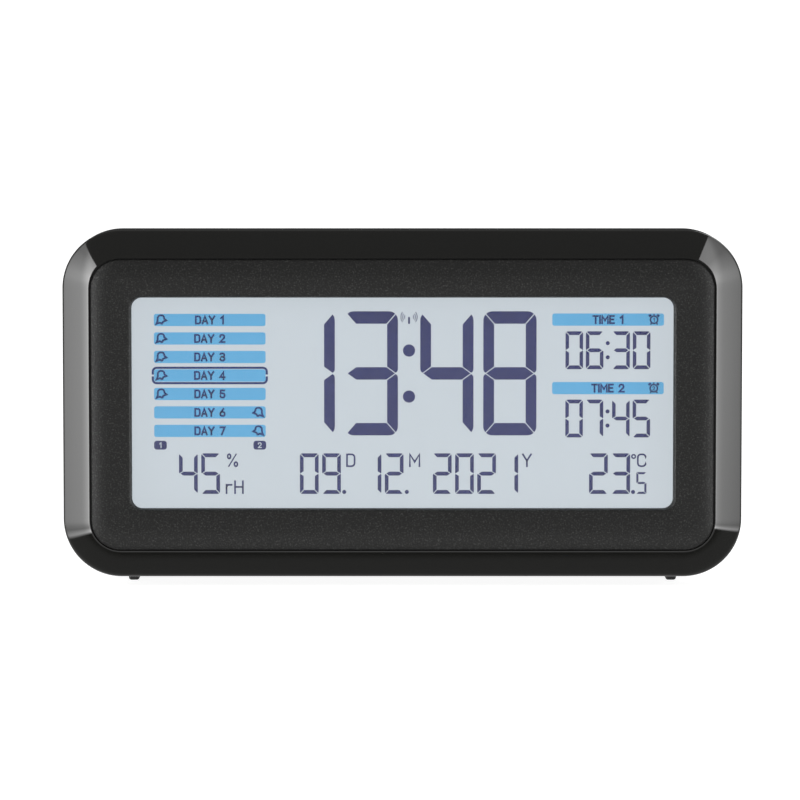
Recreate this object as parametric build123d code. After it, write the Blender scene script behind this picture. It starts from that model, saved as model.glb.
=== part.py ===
from build123d import *
import math
import os

# Radio-controlled desk alarm clock. All sizes are in millimetres.
# Depths run back from the front face of the panel. From the middle of the case, seen from the front,
# x runs to the right and v runs up. The origin of the part is under its middle, on the desk.

# Case
case_width = 150.0
case_height = 76.8
case_depth = 43.0
case_corner_radius = 12.9
standing_gap = 2.1
overrun = 1.0
seat_play = 0.05
slide_play = 0.25
post_sides = 12
disc_sides = 24

# Front bezel: sloping rim, straight skirt, ledge for the panel, bosses for board and case screws
slope_width = 6.1
slope_depth = 4.5
rim_drop = 0.8
rim_bevel = 0.25
bezel_edge_bevel = 0.4
skirt_length = 9.0
bezel_wall = 2.2
bezel_hollow_run = 2.4
ledge_gap = 0.25
ledge_thickness = 2.4

# Front panel: crowned mask with a flared opening and a seat for the clear window
panel_groove = 0.4
panel_thickness = 2.4
panel_margin_width = 3.3
panel_margin_drop = 1.0
panel_border_side = 9.1
panel_border_top = 9.0
window_corner_radius = 2.3
window_flare = 0.6
window_lap = 2.2
window_seat_depth = 0.8
window_sheet = 1.2
window_cell_gap = 0.15

# Display cell and its light
polariser_sheet = 0.25
glass_sheet = 1.1
glass_side_margin = 2.2
glass_top_margin = 2.0
glass_contact_margin = 4.4
contact_ledge = 3.0
light_guide_sheet = 3.0
light_guide_end_gap = 1.5
reflector_sheet_thickness = 0.3
holder_wall = 1.5
holder_floor = 0.8
strip_thickness = 2.0
strip_end_margin = 4.0
lamp_thickness = 1.2
lamp_height = 4.0
lamp_length = 3.4
lamp_spacing = 22.0

# Main board and what it carries
board_thickness = 1.6
board_end_gap = 0.15
board_screw_inset = 11.6
board_boss_gap = 0.45
board_boss_radius = 2.3
board_screw_radius = 0.95
board_screw_length = 6.0
board_screw_head_radius = 1.9
board_screw_head_height = 1.2
controller_radius = 9.0
controller_height = 1.8
controller_bevel = 1.2
controller_x = -6.0
controller_v = -8.0
crystal_radius = 1.0
crystal_length = 6.0
crystal_x = 14.0
crystal_v = -6.0
capacitor_radius = 3.2
capacitor_length = 9.0
capacitor_bevel = 0.6
capacitor_inset = 19.6
capacitor_v = -10.0
receiver_width = 24.0
receiver_height = 13.0
receiver_sheet = 1.0
receiver_inset = 27.6
receiver_v = 14.0
receiver_chip_width = 5.0
receiver_chip_height = 4.0
receiver_chip_thickness = 1.4

# Rear shell
shell_inset = 1.6
shell_draft = 0.8
shell_wall = 2.0
shell_edge_bevel = 1.8
lip_reach = 2.0
lip_wall = 1.1
lip_play = 0.15

# Case screws in deep towers at the four corners
case_boss_gap = 0.3
case_screw_inset = 17.4
case_boss_radius = 2.8
case_boss_reach = 5.7
tower_radius = 3.2
tower_bore_radius = 2.5
tower_floor = 2.0
case_screw_radius = 1.25
case_screw_length = 12.0
case_screw_head_radius = 2.3
case_screw_head_height = 1.7

# Battery bay, cells and contacts
cell_radius = 7.25
cell_length = 50.5
cell_nub_radius = 2.75
cell_nub_length = 1.0
cell_edge_bevel = 0.5
cell_gap = 0.5
cell_floor_gap = 0.3
cell_play = 0.1
contact_sheet = 0.4
contact_width = 11.0
spring_room = 4.6
spring_wire = 0.7
spring_wide_radius = 4.6
spring_narrow_radius = 2.6
spring_turns = 3
spring_wire_sides = 4
bay_wall = 1.5
bay_floor_margin = 9.3
bay_depth = 15.2
ridge_width = 7.0
ridge_height = 4.0
ridge_end_gap = 6.0

# Battery door with two hooks on its rounded lower edge and a bead on its upper edge
door_thickness = 1.8
door_lap = 2.0
door_play = 0.3
door_frame_wall = 1.7
door_frame_thickness = 2.0
door_corner_radius = 1.5
hook_width = 6.0
hook_spacing = 36.0
hook_thickness = 1.2
hook_reach = 1.5
hook_drop = 2.0
hook_rise = 2.6
hook_swing_room = 0.4
bead_radius = 0.5
bead_height = 0.2
bead_length = 14.0
finger_notch_radius = 7.0
finger_notch_depth = 1.2
finger_notch_height = 3.4
grip_rib_count = 3
grip_rib_pitch = 1.9
grip_rib_width = 0.8
grip_rib_length = 12.0
grip_rib_cut = 0.4
grip_rib_margin = 2.2

# Setting keys in the back
key_names = ["set_key", "alarm_one_key", "alarm_two_key", "plus_key", "minus_key"]
key_pitch = 16.0
key_width = 11.0
key_height = 5.6
key_corner_radius = 2.6
key_proud = 0.7
key_bevel = 0.4
key_flange_lap = 1.5
key_flange_thickness = 1.0
key_flange_gap = 0.2
key_travel = 0.5
key_recess_margin = 2.6
key_recess_depth = 0.8
key_recess_corner_radius = 4.5
key_board_end = 5.0
key_board_height = 12.0
key_post_gap = 12.0
key_post_radius = 2.4

# Push switches behind the keys
switch_size = 6.0
switch_height = 3.5
plunger_radius = 1.7
plunger_proud = 0.9
plunger_sunk = 1.0
plunger_play = 0.06

# Snooze key in the top
snooze_width = 68.0
snooze_length = 13.0
snooze_set_back = 3.7
snooze_corner_radius = 4.0
snooze_proud = 1.0
snooze_bevel = 0.6
snooze_flange_lap = 1.5
snooze_flange_thickness = 1.4
snooze_flange_gap = 0.2
snooze_travel = 0.6
snooze_arm_width = 8.0
snooze_arm_thickness = 2.2
snooze_switch_drop = 13.4

# Aerial
rod_radius = 4.0
rod_length = 60.0
coil_radius = 5.2
coil_length = 24.0
coil_floor_gap = 0.5
aerial_set_back = 2.0
saddle_width = 3.0
saddle_spacing = 46.0
saddle_length = 10.0

# Alarm sounder
sounder_v = -8.0
sounder_radius = 10.0
sounder_sheet = 0.25
sounder_disc_radius = 7.0
sounder_chamber = 1.8
sounder_ring_wall = 1.5
sounder_ring_step = 0.9
sounder_hole_radius = 0.8
sounder_hole_ring = 4.2
sounder_hole_count = 6

# Climate sensor behind its vents
vent_v = -8.0
vent_length = 15.0
vent_width = 1.5
vent_pitch = 3.2
vent_count = 5
sensor_board_width = 16.0
sensor_board_height = 12.0
sensor_board_sheet = 1.0
sensor_stand_off = 4.0
sensor_peg_radius = 1.0
sensor_peg_spacing = 12.0
sensor_width = 4.0
sensor_height = 3.0
sensor_thickness = 1.2

# Leads inside the case
lead_radius = 0.6
lead_sides = 6
lead_hole_play = 0.3
lead_stand_off = 3.0
lead_straight = 4.0
lead_slack = 3.0
sounder_lead_inset = 1.5
sensor_lead_count = 3
sensor_lead_pitch = 2.5
sensor_lead_margin = 1.5
aerial_lead_radius = 0.3
aerial_lead_end_gap = 2.0
aerial_lead_rise = 2.3
ribbon_width = 10.0
ribbon_sheet = 0.8
ribbon_drop = 3.0

# Feet
foot_inset = 14.9
foot_width = 2.4
foot_length = 7.0
foot_sunk = 1.0
foot_bevel = 0.5
front_foot_set_back = 5.7
rear_foot_margin = 7.0

# Places that follow from the sizes
half_height = case_height / 2
middle_height = standing_gap + half_height
slope_end_depth = rim_drop + slope_depth
parting_depth = slope_end_depth + skirt_length
ledge_back_depth = panel_thickness + ledge_thickness
opening_width = case_width - 2 * slope_width
opening_height = case_height - 2 * slope_width
opening_radius = case_corner_radius - slope_width
window_width = opening_width - 2 * panel_border_side
window_height = opening_height - 2 * panel_border_top
sheet_front_depth = panel_thickness - window_seat_depth
sheet_back_depth = sheet_front_depth + window_sheet
cell_front_depth = sheet_back_depth + window_cell_gap
front_glass_depth = cell_front_depth + polariser_sheet
rear_glass_depth = front_glass_depth + glass_sheet
rear_polariser_depth = rear_glass_depth + glass_sheet
guide_depth = rear_polariser_depth + polariser_sheet
reflector_depth = guide_depth + light_guide_sheet
holder_floor_depth = reflector_depth + reflector_sheet_thickness
board_depth = holder_floor_depth + holder_floor
board_back_depth = board_depth + board_thickness
rear_wall_depth = case_depth - shell_wall
shell_bottom_v = shell_inset - half_height
shell_top_v = half_height - shell_inset
shell_rear_top_v = shell_top_v - shell_draft
glass_width = window_width + 2 * glass_side_margin
glass_top_v = window_height / 2 + glass_top_margin
glass_bottom_v = -window_height / 2 - glass_contact_margin
rear_glass_bottom_v = glass_bottom_v + contact_ledge
holder_inner_width = max(glass_width, window_width + 2 * window_lap) + 2 * slide_play
holder_inner_low_v = min(glass_bottom_v, -window_height / 2 - window_lap) - slide_play
holder_inner_high_v = max(glass_top_v, window_height / 2 + window_lap) + slide_play
strip_v = (glass_bottom_v + rear_glass_bottom_v) / 2
strip_length = glass_width - 2 * strip_end_margin
lamp_x = holder_inner_width / 2 - lamp_thickness / 2 - seat_play
lamp_places = [(side * lamp_x, level * lamp_spacing / 2) for side in (-1, 1) for level in (-1, 1)]
guide_width = holder_inner_width - 2 * lamp_thickness - 2 * light_guide_end_gap
holder_side_x = holder_inner_width / 2 + holder_wall
holder_low_v = holder_inner_low_v - holder_wall
holder_high_v = holder_inner_high_v + holder_wall
board_width = 2 * holder_side_x - 2 * board_end_gap
board_screw_x = board_width / 2 - board_screw_inset
capacitor_x = board_width / 2 - capacitor_inset
receiver_x = receiver_inset - board_width / 2
board_screw_v = max(holder_high_v, -holder_low_v) + board_boss_gap + board_boss_radius
board_height = 2 * board_screw_v + 2 * board_boss_radius
case_screw_x = holder_side_x + case_boss_gap + case_boss_radius
case_screw_v = half_height - case_screw_inset
case_boss_end_depth = parting_depth + case_boss_reach
snooze_front_depth = parting_depth + snooze_set_back
snooze_switch_v = half_height - snooze_switch_drop
bay_floor_v = bay_floor_margin - half_height


def span(low, high):
    """Height and middle of a stretch between two levels."""
    return high - low, (low + high) / 2


def front_plane(depth):
    """Plane parallel to the face of the clock, looking forward, with x right and v up."""
    origin = (0, depth - case_depth / 2, middle_height)
    return Plane(origin=origin, x_dir=(1, 0, 0), z_dir=(0, -1, 0))


def slab(sketch, front, back):
    """A sketch on the face of the clock, carried from one depth to another."""
    return extrude(front_plane(back) * sketch, amount=back - front)


def bar(sketch, left, right):
    """A sketch of depth and v, carried from one x to another."""
    plane = Plane(origin=(left, -case_depth / 2, middle_height), x_dir=(0, 1, 0), z_dir=(1, 0, 0))
    return extrude(plane * sketch, amount=right - left)


def column(sketch, low, high):
    """A sketch of x and depth, carried from one v to another."""
    plane = Plane(origin=(0, -case_depth / 2, middle_height + low))
    return extrude(plane * sketch, amount=high - low)


def block(width, height, front, back, x=0.0, v=0.0):
    return slab(Pos(x, v) * Rectangle(width, height), front, back)


def plate(width, height, radius, front, back, x=0.0, v=0.0):
    return slab(Pos(x, v) * RectangleRounded(width, height, radius), front, back)


def post(radius, front, back, x=0.0, v=0.0, sides=post_sides):
    """A small hidden boss, hole or disc, drawn with flats so that the model stays light."""
    return slab(Pos(x, v) * RegularPolygon(radius, sides), front, back)


def drafted(sketch, depth, run, narrowing):
    """A sketch carried forwards by a run, or backwards if that is negative, as its edge draws in."""
    plane = front_plane(depth)
    if run < 0:
        plane = Plane(origin=plane.origin, x_dir=plane.x_dir, z_dir=-plane.z_dir)
    return extrude(plane * sketch, amount=abs(run), taper=math.degrees(math.atan2(narrowing, abs(run))))


def tapered(front_sketch, front, back_sketch, back):
    """A body with straight sides between two outlines at different depths."""
    return loft([front_plane(front) * front_sketch, front_plane(back) * back_sketch], ruled=True)


def edges_at_depth(solid, depth):
    """The edges that lie all in one plane parallel to the face of the clock."""
    y = depth - case_depth / 2
    flat = [edge for edge in solid.edges() if edge.bounding_box().size.Y < seat_play]
    return [edge for edge in flat if abs(edge.center().Y - y) < seat_play]


def corners(x, v):
    """The four places that mirror each other about the middle of the case."""
    return [(side * x, level * v) for side in (-1, 1) for level in (-1, 1)]


def group(solids):
    return Compound(children=[solid for part in solids for solid in part.solids()])


# Front bezel


def bezel_hollow():
    """The room behind the ledge, following the slope and then the skirt."""
    wide_width = case_width - 2 * bezel_wall
    wide_height = case_height - 2 * bezel_wall
    wide = RectangleRounded(wide_width, wide_height, case_corner_radius - bezel_wall)
    run_end = ledge_back_depth + bezel_hollow_run
    run = drafted(wide, run_end, bezel_hollow_run, slope_width - bezel_wall)
    return run + slab(wide, run_end, parting_depth + overrun)


def make_front_bezel():
    outline = RectangleRounded(case_width, case_height, case_corner_radius)
    opening = RectangleRounded(opening_width, opening_height, opening_radius)
    bezel = drafted(outline, slope_end_depth, slope_depth, slope_width)
    bezel += slab(outline, slope_end_depth, parting_depth)
    bezel = chamfer(edges_at_depth(bezel, slope_end_depth), bezel_edge_bevel)
    bezel -= slab(opening, rim_drop - overrun, panel_thickness)
    clear_width = 2 * holder_side_x + 2 * ledge_gap
    clear_height, clear_v = span(holder_low_v - ledge_gap, holder_high_v + ledge_gap)
    bezel -= block(clear_width, clear_height, rim_drop - overrun, parting_depth + overrun, v=clear_v)
    bezel -= bezel_hollow()
    bezel = chamfer(edges_at_depth(bezel, rim_drop), rim_bevel)
    for x, v in corners(board_screw_x, board_screw_v):
        bezel += post(board_boss_radius, panel_thickness, board_depth, x, v)
        pilot_depth = board_back_depth - board_screw_length - overrun
        bezel -= post(board_screw_radius + seat_play, pilot_depth, board_depth + overrun, x, v)
    for x, v in corners(case_screw_x, case_screw_v):
        bezel += post(case_boss_radius, panel_thickness, case_boss_end_depth, x, v)
        pilot_depth = case_boss_end_depth - case_screw_length
        end = case_boss_end_depth + overrun
        bezel -= post(case_screw_radius + seat_play, pilot_depth, end, x, v)
    return bezel


# Front panel


def make_front_panel():
    width = opening_width - 2 * panel_groove
    height = opening_height - 2 * panel_groove
    radius = opening_radius - panel_groove
    turn = 2 * math.atan(panel_margin_drop / panel_margin_width)
    crown_radius = panel_margin_width / math.sin(turn)
    spread = crown_radius - panel_margin_width
    crown = plate(width + 2 * spread, height + 2 * spread, radius + spread, 0, 2 * crown_radius)
    crown = fillet(edges_at_depth(crown, 0), crown_radius)
    panel = crown & plate(width, height, radius, 0, panel_thickness)
    flared = RectangleRounded(
        window_width + 2 * window_flare,
        window_height + 2 * window_flare,
        window_corner_radius + window_flare,
    )
    window = RectangleRounded(window_width, window_height, window_corner_radius)
    panel -= tapered(flared, 0, window, sheet_front_depth)
    panel -= plate(
        window_width + 2 * window_lap + 2 * seat_play,
        window_height + 2 * window_lap + 2 * seat_play,
        window_corner_radius + seat_play,
        sheet_front_depth,
        panel_thickness + overrun,
    )
    return panel


def make_display_window():
    width = window_width + 2 * window_lap
    height = window_height + 2 * window_lap
    return plate(width, height, window_corner_radius, sheet_front_depth, sheet_back_depth)


# Display cell, its light and its holder


def display_sheet(width, low, front, thickness):
    height, v = span(low, glass_top_v)
    return block(width, height, front, front + thickness, v=v)


def make_holder():
    inner_height, inner_v = span(holder_inner_low_v, holder_inner_high_v)
    outer_height, outer_v = span(holder_low_v, holder_high_v)
    holder = block(2 * holder_side_x, outer_height, panel_thickness, board_depth, v=outer_v)
    holder -= block(
        holder_inner_width, inner_height, panel_thickness - overrun, holder_floor_depth, v=inner_v
    )
    strip_slot_length = strip_length + 2 * slide_play
    strip_slot_height = strip_thickness + 2 * slide_play
    holder -= block(
        strip_slot_length, strip_slot_height, holder_floor_depth - overrun, board_depth + overrun, v=strip_v
    )
    for x, v in lamp_places:
        lamp_slot_height = lamp_height + 2 * slide_play
        holder -= block(
            lamp_thickness + 2 * seat_play,
            lamp_slot_height,
            holder_floor_depth - overrun,
            board_depth + overrun,
            x,
            v,
        )
    return holder


def make_lamps():
    return group(
        block(lamp_thickness, lamp_height, board_depth - lamp_length, board_depth, x, v)
        for x, v in lamp_places
    )


# Main board and what is soldered to it


def pan_screw(radius, length, head_radius, head_height, head_depth, x, v):
    """A screw that points forward, with the underside of its head at one depth."""
    shank = post(radius, head_depth - length, head_depth, x, v)
    return shank + post(head_radius, head_depth, head_depth + head_height, x, v)


def make_main_board():
    board = block(board_width, board_height, board_depth, board_back_depth)
    hole_radius = board_screw_radius + slide_play
    for x, v in corners(board_screw_x, board_screw_v):
        board -= post(hole_radius, board_depth - overrun, board_back_depth + overrun, x, v)
    return board


def make_board_screws():
    return group(
        pan_screw(
            board_screw_radius,
            board_screw_length,
            board_screw_head_radius,
            board_screw_head_height,
            board_back_depth,
            x,
            v,
        )
        for x, v in corners(board_screw_x, board_screw_v)
    )


def make_controller():
    """A low drop of black resin over the bare chip."""
    top = board_back_depth + controller_height
    drop = post(controller_radius, board_back_depth, top, controller_x, controller_v, disc_sides)
    return chamfer(edges_at_depth(drop, top), controller_bevel)


def make_crystal():
    level = board_back_depth + crystal_radius
    profile = Pos(level, crystal_v) * RegularPolygon(crystal_radius, post_sides)
    return bar(profile, crystal_x - crystal_length / 2, crystal_x + crystal_length / 2)


def make_capacitor():
    end = board_back_depth + capacitor_length
    can = post(capacitor_radius, board_back_depth, end, capacitor_x, capacitor_v, disc_sides)
    return chamfer(edges_at_depth(can, end), capacitor_bevel)


def make_receiver_board():
    back = board_back_depth + receiver_sheet
    return block(receiver_width, receiver_height, board_back_depth, back, receiver_x, receiver_v)


def make_receiver_chip():
    front = board_back_depth + receiver_sheet
    return block(
        receiver_chip_width,
        receiver_chip_height,
        front,
        front + receiver_chip_thickness,
        receiver_x,
        receiver_v,
    )


# Rear shell


def shell_form(inset):
    """The outside of the rear shell, or with an inset the room inside it."""
    width = case_width - 2 * shell_inset - 2 * inset
    height = case_height - 2 * shell_inset - 2 * inset
    outline = RectangleRounded(width, height, case_corner_radius - shell_inset - inset)
    length = case_depth - inset - parting_depth
    return drafted(outline, parting_depth, -length, shell_draft)


shell_outside = shell_form(0)
shell_outside = chamfer(edges_at_depth(shell_outside, case_depth), shell_edge_bevel)
shell_inside = shell_form(shell_wall)

bay_length = cell_length + spring_room + 2 * contact_sheet + cell_play
bay_height = 2 * (2 * cell_radius + cell_gap) + cell_gap
bay_v = bay_floor_v + bay_height / 2
bay_back_depth = case_depth - door_thickness
bay_front_depth = bay_back_depth - bay_depth
cell_depth = bay_front_depth + cell_floor_gap + cell_radius
cell_offset = cell_radius + cell_gap / 2
door_width = bay_length + 2 * door_lap
door_height = bay_height + 2 * door_lap
hinge_radius = door_thickness / 2
hinge_depth = case_depth - hinge_radius
hinge_v = bay_v - door_height / 2 + hinge_radius
hook_front_depth = rear_wall_depth - seat_play - hook_reach
hook_places = [side * hook_spacing / 2 for side in (-1, 1)]
bay_top_v = bay_v + bay_height / 2 + bay_wall
aerial_v = bay_top_v + coil_floor_gap + coil_radius
aerial_depth = bay_front_depth + aerial_set_back
key_row_v = (bay_v + door_height / 2 + shell_rear_top_v) / 2
key_xs = [key_pitch * (index - (len(key_names) - 1) / 2) for index in range(len(key_names))]
key_post_x = key_xs[-1] + key_post_gap
key_board_width = 2 * key_post_x + 2 * key_board_end
key_floor_depth = case_depth - key_recess_depth
key_flange_back = rear_wall_depth - key_flange_gap
key_flange_front = key_flange_back - key_flange_thickness
switch_back_depth = key_flange_front - plunger_proud
switch_front_depth = switch_back_depth - switch_height
key_board_front = switch_front_depth - board_thickness
sensor_board_front = rear_wall_depth - sensor_stand_off - sensor_board_sheet
shell_side_x = case_width / 2 - shell_inset - shell_draft - shell_wall
vent_x = (door_width / 2 + door_frame_wall + shell_side_x) / 2
sounder_x = -vent_x
sounder_plate_back = rear_wall_depth - sounder_chamber
sounder_plate_front = sounder_plate_back - sounder_sheet
foot_x = case_width / 2 - foot_inset
foot_depths = [parting_depth + front_foot_set_back, case_depth - rear_foot_margin]
foot_places = [(side * foot_x, depth) for side in (-1, 1) for depth in foot_depths]
snooze_middle_depth = snooze_front_depth + snooze_length / 2


def lip():
    """Four tongues that go into the bezel's hollow and line the two halves up."""
    side_x = case_width / 2 - bezel_wall - lip_play - lip_wall / 2
    top_v = half_height - bezel_wall - lip_play - lip_wall / 2
    side_length = case_height - 2 * case_corner_radius
    top_length = case_width - 2 * case_corner_radius
    front = parting_depth - lip_reach
    back = parting_depth + shell_wall
    tongues = []
    for side in (-1, 1):
        tongues.append(block(lip_wall, side_length, front, back, side * side_x))
        tongues.append(block(top_length, lip_wall, front, back, v=side * top_v))
    return tongues


def bay_body():
    """The outside of the battery bay, with the frame that the door shuts on."""
    tub_width = bay_length + 2 * bay_wall
    tub_height = bay_height + 2 * bay_wall
    tub = block(tub_width, tub_height, bay_front_depth - bay_wall, rear_wall_depth, v=bay_v)
    frame_width = door_width + 2 * door_frame_wall
    frame_height = door_height + 2 * door_frame_wall
    frame_front = bay_back_depth - door_frame_thickness
    frame = block(frame_width, frame_height, frame_front, rear_wall_depth, v=bay_v)
    return tub + frame


def bay_room():
    """The hollow for the cells, less the ridge between them."""
    room = block(bay_length, bay_height, bay_front_depth, bay_back_depth, v=bay_v)
    ridge_back = bay_front_depth + ridge_height
    ridge = block(bay_length - 2 * ridge_end_gap, ridge_width, bay_front_depth, ridge_back, v=bay_v)
    half = bay_length / 2
    for side in (-1, 1):
        trough = Pos(cell_depth, bay_v + side * cell_offset) * Circle(cell_radius + cell_floor_gap)
        ridge -= bar(trough, -half, half)
    return room - ridge


def door_opening():
    width = door_width + 2 * door_play
    height = door_height + 2 * door_play
    back = case_depth + overrun
    rounded = plate(width, height, door_corner_radius, bay_back_depth, back, v=bay_v)
    square_foot = block(width, height / 2, bay_back_depth, back, v=bay_v - height / 4)
    return rounded + square_foot


def hook_slots():
    """Room for the door's hooks, also while they swing inwards as the door opens."""
    reach = hinge_depth - hook_front_depth
    swing = math.hypot(reach, hook_drop) + hook_swing_room
    lower_v = hinge_v - hook_drop - hook_swing_room
    upper_v = hinge_v + swing
    height, v = span(lower_v, upper_v)
    width = hook_width + 2 * slide_play
    front = hinge_depth - swing
    slots = [block(width, height, front, rear_wall_depth, x, v) for x in hook_places]
    mouths = [block(width, swing, front, bay_back_depth, x, upper_v - swing / 2) for x in hook_places]
    return slots + mouths


def lead_holes():
    """Holes in the end wall of the bay for the leads that go to its two end contacts."""
    inner = bay_length / 2
    section = RegularPolygon(lead_radius + lead_hole_play, lead_sides)
    levels = [bay_v + side * cell_offset for side in (-1, 1)]
    return [bar(Pos(cell_depth, v) * section, inner, inner + bay_wall + overrun) for v in levels]


def finger_notch():
    """The scoop above the door, where a finger tip lifts its upper edge."""
    v = bay_v + door_height / 2 + door_play
    scoop = Pos(0, v) * Circle(finger_notch_radius)
    keep = Pos(0, v + finger_notch_height / 2) * Rectangle(2 * finger_notch_radius, finger_notch_height)
    return slab(scoop & keep, case_depth - finger_notch_depth, case_depth + overrun)


def key_openings():
    recess_width = key_xs[-1] - key_xs[0] + key_width + 2 * key_recess_margin
    recess_height = key_height + 2 * key_recess_margin
    recess = plate(
        recess_width,
        recess_height,
        key_recess_corner_radius,
        key_floor_depth,
        case_depth + overrun,
        v=key_row_v,
    )
    hole_width = key_width + 2 * slide_play
    hole_height = key_height + 2 * slide_play
    hole_radius = key_corner_radius + slide_play
    holes = [
        plate(hole_width, hole_height, hole_radius, rear_wall_depth - overrun, case_depth, x, key_row_v)
        for x in key_xs
    ]
    return [recess] + holes


def sounder_ring():
    seat = sounder_plate_front - sounder_sheet
    open_front = seat - overrun
    open_back = rear_wall_depth + overrun
    place = (sounder_x, sounder_v, disc_sides)
    ring = post(sounder_radius + sounder_ring_wall, seat, rear_wall_depth, *place)
    ring -= post(sounder_radius + seat_play, open_front, sounder_plate_back, *place)
    return ring - post(sounder_radius - sounder_ring_step, open_front, open_back, *place)


def sounder_holes():
    turn = 2 * math.pi / sounder_hole_count
    places = [(0, 0)]
    for index in range(sounder_hole_count):
        angle = turn * index
        places.append((sounder_hole_ring * math.cos(angle), sounder_hole_ring * math.sin(angle)))
    front = rear_wall_depth - overrun
    back = case_depth + overrun
    return [post(sounder_hole_radius, front, back, sounder_x + x, sounder_v + v) for x, v in places]


def vents():
    first_v = vent_v - vent_pitch * (vent_count - 1) / 2
    slot = Rectangle(vent_length, vent_width)
    front = rear_wall_depth - overrun
    back = case_depth + overrun
    levels = [first_v + vent_pitch * index for index in range(vent_count)]
    return [slab(Pos(vent_x, v) * slot, front, back) for v in levels]


def sensor_pegs():
    pegs = []
    for side in (-1, 1):
        x = vent_x + side * sensor_peg_spacing / 2
        shoulder_depth = rear_wall_depth - sensor_stand_off
        shoulder_radius = sensor_peg_radius + sensor_board_sheet
        pegs.append(post(shoulder_radius, shoulder_depth, rear_wall_depth, x, vent_v))
        pegs.append(post(sensor_peg_radius, sensor_board_front, shoulder_depth, x, vent_v))
    return pegs


def saddles():
    """Two cradles on the roof of the battery bay that the ferrite rod lies in."""
    made = []
    for side in (-1, 1):
        middle = side * saddle_spacing / 2
        height, v = span(bay_top_v - bay_wall / 2, aerial_v)
        cradle = Pos(aerial_depth, v) * Rectangle(saddle_length, height)
        trough = Pos(aerial_depth, aerial_v) * RegularPolygon(rod_radius + seat_play, disc_sides)
        made.append(bar(cradle - trough, middle - saddle_width / 2, middle + saddle_width / 2))
    return made


def snooze_opening():
    size = (snooze_width + 2 * slide_play, snooze_length + 2 * slide_play)
    outline = RectangleRounded(*size, snooze_corner_radius + slide_play)
    return column(Pos(0, snooze_middle_depth) * outline, shell_rear_top_v - 2 * shell_wall, half_height)


def foot_outline(x, depth, play):
    return Pos(x, depth) * Rectangle(foot_width + 2 * play, foot_length + 2 * play)


def make_rear_shell():
    shell = shell_outside - shell_inside + bay_body()
    for x, v in corners(case_screw_x, case_screw_v):
        shell += post(tower_radius, case_boss_end_depth, rear_wall_depth, x, v)
    for side in (-1, 1):
        shell += post(key_post_radius, switch_front_depth, rear_wall_depth, side * key_post_x, key_row_v)
    shell += sounder_ring()
    for piece in lip() + sensor_pegs() + saddles():
        shell += piece
    cuts = [bay_room(), door_opening(), finger_notch(), snooze_opening()]
    cuts += hook_slots() + key_openings() + sounder_holes() + vents() + lead_holes()
    for x, v in corners(case_screw_x, case_screw_v):
        floor = case_boss_end_depth + tower_floor
        cuts.append(post(tower_bore_radius, floor, case_depth + overrun, x, v, disc_sides))
        hole_end = case_depth
        cuts.append(post(case_screw_radius + slide_play, case_boss_end_depth - overrun, hole_end, x, v))
    for side in (-1, 1):
        pilot_radius = board_screw_radius + seat_play
        pilot_end = key_board_front + board_screw_length + seat_play
        x = side * key_post_x
        cuts.append(post(pilot_radius, switch_front_depth - overrun, pilot_end, x, key_row_v))
    for x, depth in foot_places:
        top = shell_bottom_v + foot_sunk
        cuts.append(column(foot_outline(x, depth, seat_play), shell_bottom_v - overrun, top))
    return shell - cuts


def make_case_screws():
    screws = []
    head_depth = case_boss_end_depth + tower_floor
    for x, v in corners(case_screw_x, case_screw_v):
        screws.append(
            pan_screw(
                case_screw_radius,
                case_screw_length,
                case_screw_head_radius,
                case_screw_head_height,
                head_depth,
                x,
                v,
            )
        )
    return group(screws)


# Feet


def make_feet():
    feet = []
    for x, depth in foot_places:
        low = -middle_height
        foot = column(foot_outline(x, depth, 0), low, shell_bottom_v + foot_sunk)
        under = foot.edges().group_by(Axis.Z)[0]
        feet.append(chamfer(under, foot_bevel))
    return group(feet)


# Battery door


def make_battery_door():
    upper_v = bay_v + door_height / 2
    leaf_height, leaf_v = span(hinge_v, upper_v)
    leaf = block(door_width, leaf_height, bay_back_depth, case_depth, v=leaf_v)
    half = door_width / 2
    leaf += bar(Pos(hinge_depth, hinge_v) * Circle(hinge_radius), -half, half)
    upright = leaf.edges().filter_by(Axis.Y)
    top_corners = [edge for edge in upright if edge.center().Z > middle_height + bay_v]
    leaf = fillet(top_corners, door_corner_radius)
    bead_v = upper_v + bead_height - bead_radius
    bead = Pos(hinge_depth, bead_v) * Circle(bead_radius)
    leaf += bar(bead, -bead_length / 2, bead_length / 2)
    for index in range(grip_rib_count):
        v = upper_v - grip_rib_margin - grip_rib_pitch * index
        groove = Rectangle(grip_rib_length, grip_rib_width)
        leaf -= slab(Pos(0, v) * groove, case_depth - grip_rib_cut, case_depth + overrun)
    for x in hook_places:
        root_height, root_v = span(hinge_v, hinge_v + hook_rise)
        leaf += block(hook_width, root_height, hook_front_depth, bay_back_depth, x, root_v)
        tip_height, tip_v = span(hinge_v - hook_drop, hinge_v)
        leaf += block(hook_width, tip_height, hook_front_depth, hook_front_depth + hook_thickness, x, tip_v)
    return leaf


# Cells, springs and contacts


def make_cell(side, v):
    """A cell lying along x, with its raised positive end towards that side."""
    tip = side * (bay_length / 2 - contact_sheet - cell_play)
    shoulder = tip - side * cell_nub_length
    end = tip - side * cell_length
    can = bar(Pos(cell_depth, v) * Circle(cell_radius), min(shoulder, end), max(shoulder, end))
    can = chamfer(can.edges().filter_by(GeomType.CIRCLE), cell_edge_bevel)
    return can + bar(Pos(cell_depth, v) * Circle(cell_nub_radius), min(shoulder, tip), max(shoulder, tip))


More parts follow.
